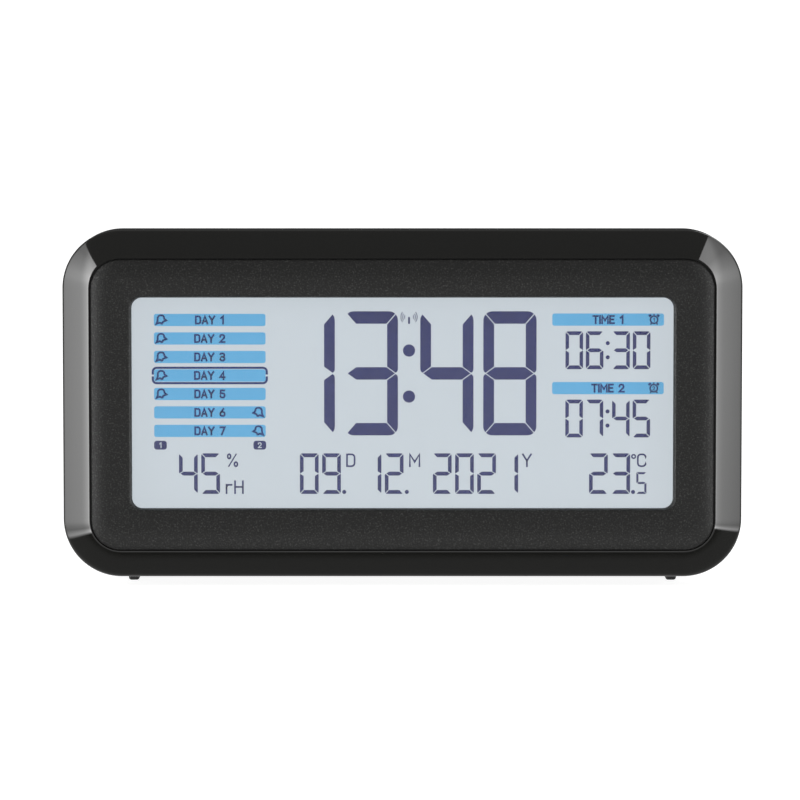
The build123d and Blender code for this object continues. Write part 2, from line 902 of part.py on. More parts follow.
def spring_state(share, start_x, end_x, v):
    """Place and direction on a narrowing coil, at a share of its length."""
    angle = 2 * math.pi * spring_turns * share
    narrowing = spring_narrow_radius - spring_wide_radius
    radius = spring_wide_radius + narrowing * share
    turn_rate = 2 * math.pi * spring_turns
    cosine = math.cos(angle)
    sine = math.sin(angle)
    place = Vector(
        start_x + (end_x - start_x) * share,
        cell_depth + radius * cosine - case_depth / 2,
        middle_height + v + radius * sine,
    )
    heading = Vector(
        end_x - start_x,
        narrowing * cosine - radius * turn_rate * sine,
        narrowing * sine + radius * turn_rate * cosine,
    )
    return place, heading.normalized()


def biarc(start, start_heading, end, end_heading):
    """Two arcs that leave and arrive along the given headings and meet smoothly."""
    chord = end - start
    bend = 2 * (1 - start_heading.dot(end_heading))
    along = chord.dot(start_heading + end_heading)
    reach = (math.sqrt(along**2 + bend * chord.dot(chord)) - along) / bend
    leave = start + start_heading * reach
    arrive = end - end_heading * reach
    meet = (leave + arrive) * 0.5
    return [TangentArc(start, meet, tangent=start_heading), TangentArc(meet, end, tangent=arrive - leave)]


def spring_gap(start_x, end_x, v):
    """The least distance between one turn of the spring and the next, over the wire."""
    steps_per_turn = 36
    count = steps_per_turn * spring_turns
    places = [spring_state(index / count, start_x, end_x, v)[0] for index in range(count + 1)]
    near = steps_per_turn // 2
    apart = [(a - b).length for i, a in enumerate(places) for b in places[i + near :]]
    return min(apart) - spring_wire


def make_spring(side, v):
    """A battery spring that narrows from its contact towards the flat end of its cell."""
    wall = -side * (bay_length / 2 - contact_sheet)
    start_x = wall + side * (spring_wire / 2 + cell_play)
    end_x = wall + side * (spring_room - spring_wire / 2 - cell_play)
    quarters = 4 * spring_turns
    states = [spring_state(index / quarters, start_x, end_x, v) for index in range(quarters + 1)]
    arcs = []
    for (start, start_heading), (end, end_heading) in zip(states, states[1:]):
        arcs += biarc(start, start_heading, end, end_heading)
    first, heading = states[0]
    print("spring, least gap between turns:", round(spring_gap(start_x, end_x, v), 3))
    section = RegularPolygon(spring_wire / 2, spring_wire_sides)
    return sweep(Plane(origin=first, z_dir=heading) * section, path=Wire(arcs))


def contact(side, low, high):
    """A flat contact against one end wall of the bay."""
    wall = side * bay_length / 2
    height, v = span(low, high)
    face = Pos(cell_depth, v) * Rectangle(contact_width, height)
    inner = wall - side * contact_sheet
    return bar(face, min(wall, inner), max(wall, inner))


# Keys and their switches


def make_key(x):
    top = key_floor_depth + key_proud
    cap = plate(key_width, key_height, key_corner_radius, key_flange_back, top, x, key_row_v)
    cap = chamfer(edges_at_depth(cap, top), key_bevel)
    flange_width = key_width + 2 * key_flange_lap
    flange_height = key_height + 2 * key_flange_lap
    return cap + block(flange_width, flange_height, key_flange_front, key_flange_back, x, key_row_v)


def make_switch_plunger(x):
    back = key_flange_front
    front = back - plunger_proud - plunger_sunk
    return post(plunger_radius, front, back, x, key_row_v)


def make_key_switches():
    switches = []
    well = switch_back_depth - plunger_sunk - key_travel - plunger_play
    bore_radius = plunger_radius + plunger_play
    for x in key_xs:
        body = block(switch_size, switch_size, switch_front_depth, switch_back_depth, x, key_row_v)
        end = switch_back_depth + overrun
        switches.append(body - post(bore_radius, well, end, x, key_row_v))
    return group(switches)


def make_key_board():
    board = block(key_board_width, key_board_height, key_board_front, switch_front_depth, v=key_row_v)
    for side in (-1, 1):
        hole_radius = board_screw_radius + slide_play
        x = side * key_post_x
        board -= post(hole_radius, key_board_front - overrun, switch_front_depth + overrun, x, key_row_v)
    return board


def make_key_board_screws():
    screws = []
    for side in (-1, 1):
        x = side * key_post_x
        shank_end = key_board_front + board_screw_length
        screw = post(board_screw_radius, key_board_front, shank_end, x, key_row_v)
        top = key_board_front - board_screw_head_height
        screws.append(screw + post(board_screw_head_radius, top, key_board_front, x, key_row_v))
    return group(screws)


# Snooze key, its arm and its switch on the main board


snooze_switch_top_v = snooze_switch_v + switch_height
snooze_plunger_top_v = snooze_switch_top_v + plunger_proud
snooze_plunger_depth = board_back_depth + switch_size / 2


def make_snooze_key():
    """The cap follows the drafted top of the shell, and so does the flange under it."""
    low = snooze_plunger_top_v
    middle = Pos(0, snooze_middle_depth)
    outline = RectangleRounded(snooze_width, snooze_length, snooze_corner_radius)
    cap = column(middle * outline, low, half_height)
    cap &= Pos(0, 0, snooze_proud) * shell_outside
    upper = cap.faces().sort_by(Axis.Z)[-1].edges()
    cap = chamfer(upper, snooze_bevel)
    flange_width = snooze_width + 2 * snooze_flange_lap
    flange_length = snooze_length + 2 * snooze_flange_lap
    wide = RectangleRounded(flange_width, flange_length, snooze_corner_radius + snooze_flange_lap)
    under_wall = Pos(0, 0, -snooze_flange_gap) * shell_inside
    key = cap + (column(middle * wide, low, half_height) & under_wall)
    key -= Pos(0, 0, -snooze_flange_thickness) * under_wall
    arm_front = board_back_depth + slide_play
    arm_length = snooze_middle_depth - arm_front
    arm_outline = Pos(0, arm_front + arm_length / 2) * Rectangle(snooze_arm_width, arm_length)
    post_outline = middle * Rectangle(snooze_arm_width, snooze_length - 2 * snooze_flange_lap)
    post = column(post_outline, low, half_height) & under_wall
    return key + column(arm_outline, low, low + snooze_arm_thickness) + post


def make_snooze_switch():
    middle = Pos(0, snooze_plunger_depth)
    body = column(middle * Rectangle(switch_size, switch_size), snooze_switch_v, snooze_switch_top_v)
    well = snooze_switch_top_v - plunger_sunk - snooze_travel - plunger_play
    bore = RegularPolygon(plunger_radius + plunger_play, post_sides)
    return body - column(middle * bore, well, snooze_switch_top_v + overrun)


def make_snooze_plunger():
    low = snooze_switch_top_v - plunger_sunk
    outline = RegularPolygon(plunger_radius, post_sides)
    return column(Pos(0, snooze_plunger_depth) * outline, low, snooze_plunger_top_v)


# Aerial, sounder and climate sensor


def make_ferrite_rod():
    section = RegularPolygon(rod_radius, disc_sides)
    return bar(Pos(aerial_depth, aerial_v) * section, -rod_length / 2, rod_length / 2)


def make_aerial_coil():
    bore = RegularPolygon(rod_radius + seat_play, disc_sides)
    ring = RegularPolygon(coil_radius, disc_sides) - bore
    return bar(Pos(aerial_depth, aerial_v) * ring, -coil_length / 2, coil_length / 2)


def make_sounder_plate():
    front = sounder_plate_front
    return post(sounder_radius, front, sounder_plate_back, sounder_x, sounder_v, disc_sides)


def make_sounder_disc():
    front = sounder_plate_front - sounder_sheet
    return post(sounder_disc_radius, front, sounder_plate_front, sounder_x, sounder_v, disc_sides)


def make_sensor_board():
    back = sensor_board_front + sensor_board_sheet
    board = block(sensor_board_width, sensor_board_height, sensor_board_front, back, vent_x, vent_v)
    for side in (-1, 1):
        x = vent_x + side * sensor_peg_spacing / 2
        board -= post(sensor_peg_radius + seat_play, sensor_board_front - overrun, back + overrun, x, vent_v)
    return board


def make_climate_sensor():
    front = sensor_board_front + sensor_board_sheet
    return block(sensor_width, sensor_height, front, front + sensor_thickness, vent_x, vent_v)


# Leads inside the case


def lead(route, radius):
    """A wire along a route of x, depth and v, with flats so that the model stays light."""
    points = [Vector(x, depth - case_depth / 2, middle_height + v) for x, depth, v in route]
    section = Plane(origin=points[0], z_dir=points[1] - points[0]) * RegularPolygon(radius, lead_sides)
    return sweep(section, path=Polyline(*points), transition=Transition.RIGHT)


def slack_depths(start_depth):
    """Depths and hanging shares of a slack run from a piece at the back to the main board."""
    leave = start_depth - lead_straight
    arrive = board_back_depth + lead_straight
    hanging_shares = [0, 0, 1, 0, 0]
    return list(zip([start_depth, leave, (leave + arrive) / 2, arrive, board_back_depth], hanging_shares))


def slack_lead(x, v, start_depth):
    route = [(x, depth, v - share * lead_slack) for depth, share in slack_depths(start_depth)]
    return lead(route, lead_radius)


def battery_lead(v):
    """From an end contact through the wall of the bay, then forward to the main board."""
    wall = bay_length / 2
    out = wall + bay_wall + lead_stand_off
    turn = lead_stand_off / 2
    route = [(wall, cell_depth, v), (out - turn, cell_depth, v), (out, cell_depth - turn, v)]
    return lead(route + [(out, board_back_depth, v)], lead_radius)


def make_sounder_leads():
    """One on the ceramic disc and one on the rim of the brass plate."""
    disc_front = sounder_plate_front - sounder_sheet
    rim_x = sounder_x + sounder_radius - sounder_lead_inset
    disc_lead = slack_lead(sounder_x, sounder_v, disc_front)
    return group([disc_lead, slack_lead(rim_x, sounder_v, sounder_plate_front)])


def make_sensor_leads():
    first_x = vent_x - sensor_lead_pitch * (sensor_lead_count - 1) / 2
    v = vent_v - sensor_board_height / 2 + sensor_lead_margin
    xs = [first_x + sensor_lead_pitch * index for index in range(sensor_lead_count)]
    return group(slack_lead(x, v, sensor_board_front) for x in xs)


def make_aerial_leads():
    """From the end of the winding to the edge of the receiver board."""
    ring = (coil_radius + rod_radius) / 2
    end = -coil_length / 2
    clear = end - aerial_lead_end_gap
    pad_x = receiver_x + receiver_width / 2 - aerial_lead_end_gap
    pad_depth = board_back_depth + receiver_sheet
    over = pad_depth + lead_straight
    starts = [(aerial_depth - ring, aerial_v, 0), (aerial_depth, aerial_v + ring, aerial_lead_rise)]
    leads = []
    for depth, v, rise in starts:
        pad_v = v + rise
        route = [(end, depth, v), (clear, depth, v), (pad_x, over, pad_v), (pad_x, pad_depth, pad_v)]
        leads.append(lead(route, aerial_lead_radius))
    return group(leads)


def make_key_ribbon():
    """A flat ribbon between the key board and the main board, with a slack bow in it."""
    v = key_row_v - ribbon_drop
    upper = [(depth, v + share * lead_slack) for depth, share in slack_depths(key_board_front)]
    lower = [(depth, level - ribbon_sheet) for depth, level in reversed(upper)]
    middle = (key_xs[-2] + key_xs[-1]) / 2
    strip = Polygon(*upper, *lower, align=None)
    return bar(strip, middle - ribbon_width / 2, middle + ribbon_width / 2)


upper_v = bay_v + cell_offset
lower_v = bay_v - cell_offset
contact_half_height = contact_width / 2

nodes = {
    "front_bezel": make_front_bezel(),
    "front_panel": make_front_panel(),
    "display_window": make_display_window(),
    "front_polariser": display_sheet(glass_width, rear_glass_bottom_v, cell_front_depth, polariser_sheet),
    "front_glass": display_sheet(glass_width, glass_bottom_v, front_glass_depth, glass_sheet),
    "rear_glass": display_sheet(glass_width, rear_glass_bottom_v, rear_glass_depth, glass_sheet),
    "rear_polariser": display_sheet(glass_width, rear_glass_bottom_v, rear_polariser_depth, polariser_sheet),
    "light_guide": display_sheet(guide_width, rear_glass_bottom_v, guide_depth, light_guide_sheet),
    "reflector_sheet": display_sheet(
        guide_width, rear_glass_bottom_v, reflector_depth, reflector_sheet_thickness
    ),
    "display_holder": make_holder(),
    "contact_strip": block(strip_length, strip_thickness, rear_glass_depth, board_depth, v=strip_v),
    "backlight_lamps": make_lamps(),
    "main_board": make_main_board(),
    "board_screws": make_board_screws(),
    "controller_blob": make_controller(),
    "clock_crystal": make_crystal(),
    "capacitor": make_capacitor(),
    "receiver_board": make_receiver_board(),
    "receiver_chip": make_receiver_chip(),
    "rear_shell": make_rear_shell(),
    "case_screws": make_case_screws(),
    "feet": make_feet(),
    "battery_door": make_battery_door(),
    "upper_cell": make_cell(1, upper_v),
    "lower_cell": make_cell(-1, lower_v),
    "upper_spring": make_spring(1, upper_v),
    "lower_spring": make_spring(-1, lower_v),
    "bridge_contact": contact(-1, lower_v - contact_half_height, upper_v + contact_half_height),
    "positive_contact": contact(1, upper_v - contact_half_height, upper_v + contact_half_height),
    "negative_contact": contact(1, lower_v - contact_half_height, lower_v + contact_half_height),
    "battery_leads": group([battery_lead(upper_v), battery_lead(lower_v)]),
    "sounder_leads": make_sounder_leads(),
    "sensor_leads": make_sensor_leads(),
    "aerial_leads": make_aerial_leads(),
    "key_ribbon": make_key_ribbon(),
    "key_board": make_key_board(),
    "key_board_screws": make_key_board_screws(),
    "key_switches": make_key_switches(),
    "snooze_key": make_snooze_key(),
    "snooze_switch": make_snooze_switch(),
    "snooze_plunger": make_snooze_plunger(),
    "ferrite_rod": make_ferrite_rod(),
    "aerial_coil": make_aerial_coil(),
    "sounder_plate": make_sounder_plate(),
    "sounder_disc": make_sounder_disc(),
    "sensor_board": make_sensor_board(),
    "climate_sensor": make_climate_sensor(),
}
for name, x in zip(key_names, key_xs):
    nodes[name] = make_key(x)
    nodes[name.replace("_key", "_plunger")] = make_switch_plunger(x)

os.makedirs("parts", exist_ok=True)
for name, solid in nodes.items():
    export_step(solid, f"parts/{name}.step")
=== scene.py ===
from math import atan2, cos, hypot, pi, radians, sin, tan

import bmesh
import bpy
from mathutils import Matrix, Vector


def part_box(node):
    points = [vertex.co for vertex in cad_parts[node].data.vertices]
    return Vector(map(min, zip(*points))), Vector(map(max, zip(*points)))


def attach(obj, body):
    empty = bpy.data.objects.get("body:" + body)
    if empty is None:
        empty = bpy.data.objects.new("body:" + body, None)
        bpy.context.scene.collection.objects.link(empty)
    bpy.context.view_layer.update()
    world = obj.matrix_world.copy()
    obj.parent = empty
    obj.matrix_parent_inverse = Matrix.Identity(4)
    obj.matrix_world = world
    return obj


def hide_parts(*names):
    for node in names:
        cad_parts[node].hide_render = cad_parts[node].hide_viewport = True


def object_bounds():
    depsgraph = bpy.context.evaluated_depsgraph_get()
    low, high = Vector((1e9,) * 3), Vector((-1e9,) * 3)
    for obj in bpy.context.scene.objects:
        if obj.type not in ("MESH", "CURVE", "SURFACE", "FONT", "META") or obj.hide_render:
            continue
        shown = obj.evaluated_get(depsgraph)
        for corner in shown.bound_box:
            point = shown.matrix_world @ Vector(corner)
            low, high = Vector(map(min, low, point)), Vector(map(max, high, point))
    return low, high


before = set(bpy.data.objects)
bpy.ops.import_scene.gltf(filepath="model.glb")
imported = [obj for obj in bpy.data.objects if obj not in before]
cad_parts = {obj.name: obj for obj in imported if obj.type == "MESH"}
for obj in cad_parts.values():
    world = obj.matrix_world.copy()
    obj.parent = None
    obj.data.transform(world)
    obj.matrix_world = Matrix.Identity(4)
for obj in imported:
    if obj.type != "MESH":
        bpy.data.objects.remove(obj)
cad_low, cad_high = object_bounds()


# Front bezel
# A frame moulded in black ABS in a polished tool, so that its crowned, sloping rim mirrors the room. It holds
# the panel on a ledge, and behind that the bosses that the main board and the rear shell are screwed to.

mm = 0.001


def linear(hex_colour):
    """An sRGB hex value such as "1a1b1c" as linear red, green, blue and alpha."""
    shares = [int(hex_colour[i : i + 2], 16) / 255 for i in (0, 2, 4)]
    return tuple(c / 12.92 if c <= 0.04045 else ((c + 0.055) / 1.055) ** 2.4 for c in shares) + (1.0,)


def add_node(tree, kind, inputs=None, stops=(), **settings):
    """Adds a node with its settings. Its kind goes without the prefix of its tree. An input takes a value, a
    socket, a node whose first output is meant, or a list of these. A ramp has stops of a place and a hex
    colour or a shade of grey."""
    prefix = "GeometryNode" if tree.type == "GEOMETRY" else "ShaderNode"
    made = tree.nodes.new(kind if "Node" in kind else prefix + kind)
    for name, value in settings.items():
        setattr(made, name, value)
    for i, (place, value) in enumerate(stops):
        stop = made.color_ramp.elements[i] if i < 2 else made.color_ramp.elements.new(place)
        stop.position = place
        stop.color = linear(value) if isinstance(value, str) else (value, value, value, 1)
    for name, values in (inputs or {}).items():
        for value in values if isinstance(values, list) else [values]:
            if isinstance(value, bpy.types.Node):
                value = value.outputs[0]
            if isinstance(value, bpy.types.NodeSocket):
                tree.links.new(value, made.inputs[name])
            else:
                made.inputs[name].default_value = value
    return made


def clear_tree(owner):
    """The emptied node tree of a material or world."""
    owner.use_nodes = True
    owner.node_tree.nodes.clear()
    return owner.node_tree


def new_finish(name, colour, haze=None, **surface):
    """A material with one shader, whose inputs are written with _ for a space. A haze of a patch size and two
    values, with the detail after them, moves its roughness. Returns the material and its tree."""
    material = bpy.data.materials.new(name)
    tree = clear_tree(material)
    inputs = {socket.replace("_", " "): value for socket, value in surface.items()}
    inputs["Base Color"] = linear(colour)
    shader = add_node(tree, "BsdfPrincipled", inputs, name="surface")
    add_node(tree, "OutputMaterial", {"Surface": shader})
    if haze:
        size, low, high, *detail = haze
        add_haze(tree, add_clouds(tree, size, *detail), low, high)
    return material, tree


def steer(tree, socket, source):
    """Links an input of the shader to a node's first output."""
    tree.links.new(source.outputs[0], tree.nodes["surface"].inputs[socket])


def add_clouds(tree, size, detail=2.0):
    """A cloudy pattern on the piece's own place, in patches of a size in millimetres."""
    place = add_node(tree, "TexCoord")
    inputs = {"Vector": place.outputs["Object"], "Scale": 1 / (size * mm), "Detail": detail}
    return add_node(tree, "TexNoise", inputs)


def add_relief(tree, pattern, height, edge_radius=0.0):
    """Bumps of a height, and edges that look worn round to a small radius, in millimetres."""
    inputs = {"Height": pattern, "Distance": height * mm, "Strength": 1.0}
    if edge_radius:
        inputs["Normal"] = add_node(tree, "Bevel", {"Radius": edge_radius * mm}, samples=6)
    steer(tree, "Normal", add_node(tree, "Bump", inputs))


def add_haze(tree, pattern, low, high):
    """Lets a pattern move the roughness between two values."""
    inputs = {"Value": pattern, "From Min": 0.3, "From Max": 0.7, "To Min": low, "To Max": high}
    steer(tree, "Roughness", add_node(tree, "MapRange", inputs))


def add_shades(tree, pattern, stops, interpolation="LINEAR", socket="Base Color"):
    """Lets a pattern choose the colour, or another input of the shader, from the stops of a ramp."""
    made = add_node(tree, "ValToRGB", {"Fac": pattern}, stops)
    made.color_ramp.interpolation = interpolation
    steer(tree, socket, made)


def close_up(mesh, sharp_angle=32.0):
    """Merges doubles, turns the faces outwards and shades them smooth between sharp edges."""
    work = bmesh.new()
    work.from_mesh(mesh)
    bmesh.ops.remove_doubles(work, verts=work.verts, dist=0.0001 * mm)
    bmesh.ops.recalc_face_normals(work, faces=work.faces)
    work.to_mesh(mesh)
    work.free()
    mesh.shade_smooth()
    mesh.set_sharp_from_angle(angle=radians(sharp_angle))


def new_rule(name, *sizes):
    """A Geometry Nodes tree with named sizes. Returns the tree and the sockets that give them."""
    tree = bpy.data.node_groups.new(name, "GeometryNodeTree")
    sockets = [("Geometry", "INPUT", "Geometry"), *[(size, "INPUT", "Float") for size in sizes]]
    for socket, way, kind in [*sockets, ("Geometry", "OUTPUT", "Geometry")]:
        tree.interface.new_socket(socket, in_out=way, socket_type=f"NodeSocket{kind}")
    return tree, add_node(tree, "NodeGroupInput").outputs


def end_rule(tree, geometry, material):
    """Makes the copies of a tree real, and gives them their material."""
    real = add_node(tree, "RealizeInstances", {"Geometry": geometry})
    dressed = add_node(tree, "SetMaterial", {"Geometry": real, "Material": material})
    add_node(tree, "NodeGroupOutput", {"Geometry": dressed})


def new_object(name, data):
    """Puts data in the scene as an object at the origin."""
    made = bpy.data.objects.new(name, data)
    bpy.context.collection.objects.link(made)
    return made


def new_mesh(name, points, edges=(), faces=()):
    """A mesh from lists of its parts."""
    mesh = bpy.data.meshes.new(name)
    mesh.from_pydata(points, edges, faces)
    return mesh


def follow_rule(name, tree, base, sizes):
    """Runs a tree on a base mesh and keeps what it makes as a plain mesh."""
    made = new_object(name, base)
    rule = made.modifiers.new("rule", "NODES")
    rule.node_group = tree
    for socket in tree.interface.items_tree:
        if socket.in_out == "INPUT" and socket.name in sizes:
            rule[socket.identifier] = sizes[socket.name]
    graph = bpy.context.evaluated_depsgraph_get()
    mesh = bpy.data.meshes.new_from_object(made.evaluated_get(graph), depsgraph=graph)
    made.modifiers.remove(rule)
    made.data = mesh
    close_up(mesh)
    return made


# Polished moulding: a deep black mirror, with the faint swell and haze that a wiped gloss surface has.
gloss_abs, tree = new_finish("polished_gloss_abs", "11110f", (9, 0.035, 0.075), IOR=1.54)
add_relief(tree, add_clouds(tree, 7, 0.0), 0.006)

bezel_low, bezel_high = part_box("front_bezel")
face_y = cad_low.y
middle_z = (bezel_low.z + bezel_high.z) / 2
case_corner = 12.9 * mm
slope_width = 6.2
slope_start = 0.8
slope_end = 5.3
slope_crown = 0.16
slope_steps = 16
rim_round = 0.1
rim_cut = 0.3 * rim_round
# Shares of the slope at which its inner rim and its outer edge begin
rim_start = 0.012
edge_start = 0.94
edge_steps = 8
parting_depth = 14.3
parting_chamfer = 0.15
# Inner side of the frame as inset and depth: back edge, wall, run-up to the ledge, ledge and opening
inner_side = [(2.2, parting_depth), (2.2, 7.2), (6.1, 4.8), (8.7, 4.8), (8.7, 2.4), (slope_width, 2.4)]
slope = Vector((-slope_width, slope_end - slope_start))
slope_normal = Vector((-slope.y, slope.x)).normalized()
profile = [(slope_width, slope_start + rim_round), (slope_width - rim_cut, slope_start + rim_cut)]
for step in range(slope_steps + 1):
    share = rim_start + (edge_start - rim_start) * step / slope_steps
    spot = Vector((slope_width, slope_start)) + slope * share
    lift = slope_crown * 4 * share * (1 - share)
    profile.append(tuple(spot + slope_normal * lift))
last = Vector(profile[-1])
heading = (last - Vector(profile[-2])).normalized()
turn_start = atan2(heading.y, -heading.x)
turn_radius = last.x / (1 - sin(turn_start))
for step in range(1, edge_steps + 1):
    angle = turn_start + (pi / 2 - turn_start) * step / edge_steps
    across = turn_radius * (sin(angle) - sin(turn_start))
    down = turn_radius * (cos(turn_start) - cos(angle))
    profile.append((last.x - across, last.y + down))
profile += [(0.0, parting_depth - parting_chamfer), (parting_chamfer, parting_depth), *inner_side]

tree, size = new_rule("bezel_frame", "Width", "Height", "Corner")
path = add_node(tree, "CurvePrimitiveQuadrilateral", {"Width": size["Width"], "Height": size["Height"]})
inputs = {"Curve": path, "Count": 28, "Radius": size["Corner"], "Limit Radius": True}
path = add_node(tree, "FilletCurve", inputs, mode="POLY")
section = add_node(tree, "MeshToCurve", {"Mesh": size["Geometry"]})
shapes = [add_node(tree, "CurveToMesh", {"Curve": path, "Profile Curve": section})]
# Screw bosses: half spacing across and up, radius, bore, front and back depth. The bores are blind, with
# 1.5 mm of floor, and run out at the back.
bosses = [(52.0, 32.2, 2.3, 1.0, 3.6, 9.75), (66.85, 21.0, 2.8, 1.3, 3.6, 20.0)]
for across, up, radius, bore, front, back in bosses:
    length = (back - front) * mm
    outside = add_node(tree, "MeshCylinder", {"Vertices": 32, "Radius": radius * mm, "Depth": length})
    inside = add_node(tree, "MeshCylinder", {"Vertices": 24, "Radius": bore * mm, "Depth": length + mm})
    lower = add_node(tree, "Transform", {"Geometry": inside, "Translation": (0, 0, -2 * mm)})
    inputs = {"Mesh 1": outside, "Mesh 2": lower}
    tube = add_node(tree, "MeshBoolean", inputs, operation="DIFFERENCE", solver="EXACT")
    inputs = {"Size X": 2 * across * mm, "Size Y": 2 * up * mm, "Vertices X": 2, "Vertices Y": 2}
    grid = add_node(tree, "MeshGrid", inputs)
    places = add_node(tree, "Transform", {"Geometry": grid, "Translation": (0, 0, -(front + back) / 2 * mm)})
    shapes.append(add_node(tree, "InstanceOnPoints", {"Points": places, "Instance": tube}))
whole = add_node(tree, "JoinGeometry", {"Geometry": shapes})
inputs = {"Geometry": whole, "Rotation": (pi / 2, 0, 0), "Translation": (0, face_y, middle_z)}
end_rule(tree, add_node(tree, "Transform", inputs), gloss_abs)

section_points = [(-inset * mm, depth * mm, 0) for inset, depth in profile]
section_edges = [(i, (i + 1) % len(profile)) for i in range(len(profile))]
section_mesh = new_mesh("bezel_section", section_points, section_edges)
sizes = {"Width": bezel_high.x - bezel_low.x, "Height": bezel_high.z - bezel_low.z, "Corner": case_corner}
bezel = follow_rule("gloss_front_bezel", tree, section_mesh, sizes)
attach(bezel, "case")
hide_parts("front_bezel")


# Front panel
# A mask of black ABS from a spark-eroded tool, dished off at its margins and cut away for the display. It is
# glued on the bezel's ledge with a thin dark groove all round, and holds the window in a step at its back.


def arc(middle, radius, start, end, steps=8):
    """Points along an arc, with angles in degrees."""
    angles = [radians(start + (end - start) * i / steps) for i in range(steps + 1)]
    return [(middle[0] + radius * cos(a), middle[1] + radius * sin(a)) for a in angles]


def round_bar(x, v, width, height, radius, steps=8):
    """A rectangle with round corners."""
    across = width / 2 - radius
    up = height / 2 - radius
    points = []
    for side, level, start in ((1, 1, 0), (-1, 1, 90), (-1, -1, 180), (1, -1, 270)):
        points += arc((x + side * across, v + level * up), radius, start, start + 90, steps)
    return points


def new_piece(name, mesh, material, body):
    """Puts a mesh in the scene as a piece of its own that moves with a body."""
    mesh.materials.append(material)
    made = new_object(name, mesh)
    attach(made, body)
    return made


# Spark-eroded grain: a dull black, with painted highlights as fine lighter specks where the tiny bumps catch
# the light.
# The real grain is about 0.1 mm; it is drawn at 0.34 mm so that it shows.
panel_abs, tree = new_finish("spark_grained_abs", "121210", IOR=1.54, Specular_IOR_Level=0.4)
grain_and_painted_glints = add_clouds(tree, 0.34)
# Painted highlights: the lighter specks in the colour stand for light caught on the grain's bumps.
add_shades(tree, grain_and_painted_glints, [(0.5, "0e0e0d"), (0.64, "242423"), (0.73, "383836")])
add_haze(tree, grain_and_painted_glints, 0.58, 0.44)
add_relief(tree, grain_and_painted_glints, 0.06)

panel_width = 137.2
panel_height = 64.1
panel_corner = 6.4
panel_back = 2.4
margin_width = 4.3
margin_drop = 1.15
margin_steps = 12
opening_width = 119.1
opening_height = 46.45
opening_rise = 0.4
opening_corner = 2.3
# Steps of the opening's edge as inset from the opening and depth: a narrow chamfer, then a wall with draft
opening_edge = [(0.6, 0.0), (0.56, 0.01), (0.34, 0.18), (0.3, 0.24)]
window_low, window_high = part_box("display_window")
seat_play = 0.1
seat_depth = 1.6
seat_width = (window_high.x - window_low.x) / mm + seat_play
seat_height = (window_high.z - window_low.z) / mm + seat_play
seat_corner = 4.5
corner_steps = 14
# Sections of the mask: width, height, corner radius, depth behind its front face, and height of its middle
sections = [(panel_width, panel_height, panel_corner, panel_back, 0)]
for step in range(margin_steps + 1):
    # Closer steps near the rim, where the margin turns most
    inset = margin_width * (step / margin_steps) ** 1.3
    drop = margin_drop * (1 - inset / margin_width) ** 2
    sections.append((panel_width - 2 * inset, panel_height - 2 * inset, panel_corner - inset, drop, 0))
for out, down in opening_edge:
    corner = opening_corner + out
    sections.append((opening_width + 2 * out, opening_height + 2 * out, corner, down, opening_rise))
sections.append((opening_width, opening_height, opening_corner, seat_depth, opening_rise))
sections += [(seat_width, seat_height, seat_corner, depth, 0) for depth in (seat_depth, panel_back)]
points = []
for width, height, corner, depth, rise in sections:
    loop = round_bar(0, rise, width, height, corner, corner_steps)
    points += [(x * mm, face_y + depth * mm, middle_z + v * mm) for x, v in loop]
around = len(loop)
faces = []
for row in range(len(sections)):
    here, ahead = row * around, (row + 1) % len(sections) * around
    for i in range(around):
        j = (i + 1) % around
        faces.append((here + i, here + j, ahead + j, ahead + i))
panel_mesh = new_mesh("grained_front_panel", points, [], faces)
close_up(panel_mesh)
panel = new_piece("grained_front_panel", panel_mesh, panel_abs, "case")
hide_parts("front_panel")


# Display window
# A sheet of clear cast acrylic, hard coated, that lies in the step behind the panel's opening.

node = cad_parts


def paint(material, *names):
    """Gives CAD nodes their material."""
    for name in names:
        node[name].data.materials.clear()
        node[name].data.materials.append(material)


def dress(names, finish, colour, haze=None, **surface):
    """Gives CAD nodes a finish of their own. Returns its tree."""
    material, tree = new_finish(finish, colour, haze, **surface)
    paint(material, *names)
    return tree


# Cast acrylic with an anti-glare coat: clear, with a weak shine and faint wipe marks in it.
surface = {"IOR": 1.49, "Transmission_Weight": 1.0, "Specular_IOR_Level": 0.25}
dress(["display_window"], "clear_cast_acrylic", "ffffff", (12, 0.0, 0.02), **surface)
node["display_window"].visible_shadow = False


# Display cell
# Two panes of glass with the liquid crystal between them and a polarising film on each face. Lit from behind,
# the ground glows an even pale grey-blue.

# Float glass: clear, with the green tint of its edges.
surface = {"IOR": 1.52, "Transmission_Weight": 0.9}
dress(["front_glass", "rear_glass"], "float_glass", "dfe9e6", (15, 0.0, 0.03), **surface)


def flat_finish(name, colour, dark, pale, size, glow="ffffff", strength=0.0):
    """A flat, even finish, cloudy between two shades, that may glow with the light behind it."""
    surface = {"Roughness": 0.5, "Specular_IOR_Level": 0.1}
    surface.update({"Emission_Color": linear(glow), "Emission_Strength": strength})
    material, tree = new_finish(name, colour, **surface)
    add_shades(tree, add_clouds(tree, size), [(0.3, dark), (0.7, pale)])
    return material


# Polarising film with the display light behind it: an even pale grey-blue, a trifle cloudy.
polariser = flat_finish("backlit_polarising_film", "555b5f", "53595d", "575d61", 30, "c8d1d8", 0.847)
paint(polariser, "front_polariser", "rear_polariser")


# Display figures
# What the display shows: printed colour bars and darkened liquid crystal, all flat in the cell. They are thin
# plates on the front film, in three layers, so that the figures lie over the bars.

film_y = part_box("front_polariser")[0].y
bar_layer = (0.01, 0.03)
figure_layer = (0.04, 0.07)
clear_layer = (0.08, 0.1)
film_scale = 0.9973 * mm
film_shift = -0.08 * mm


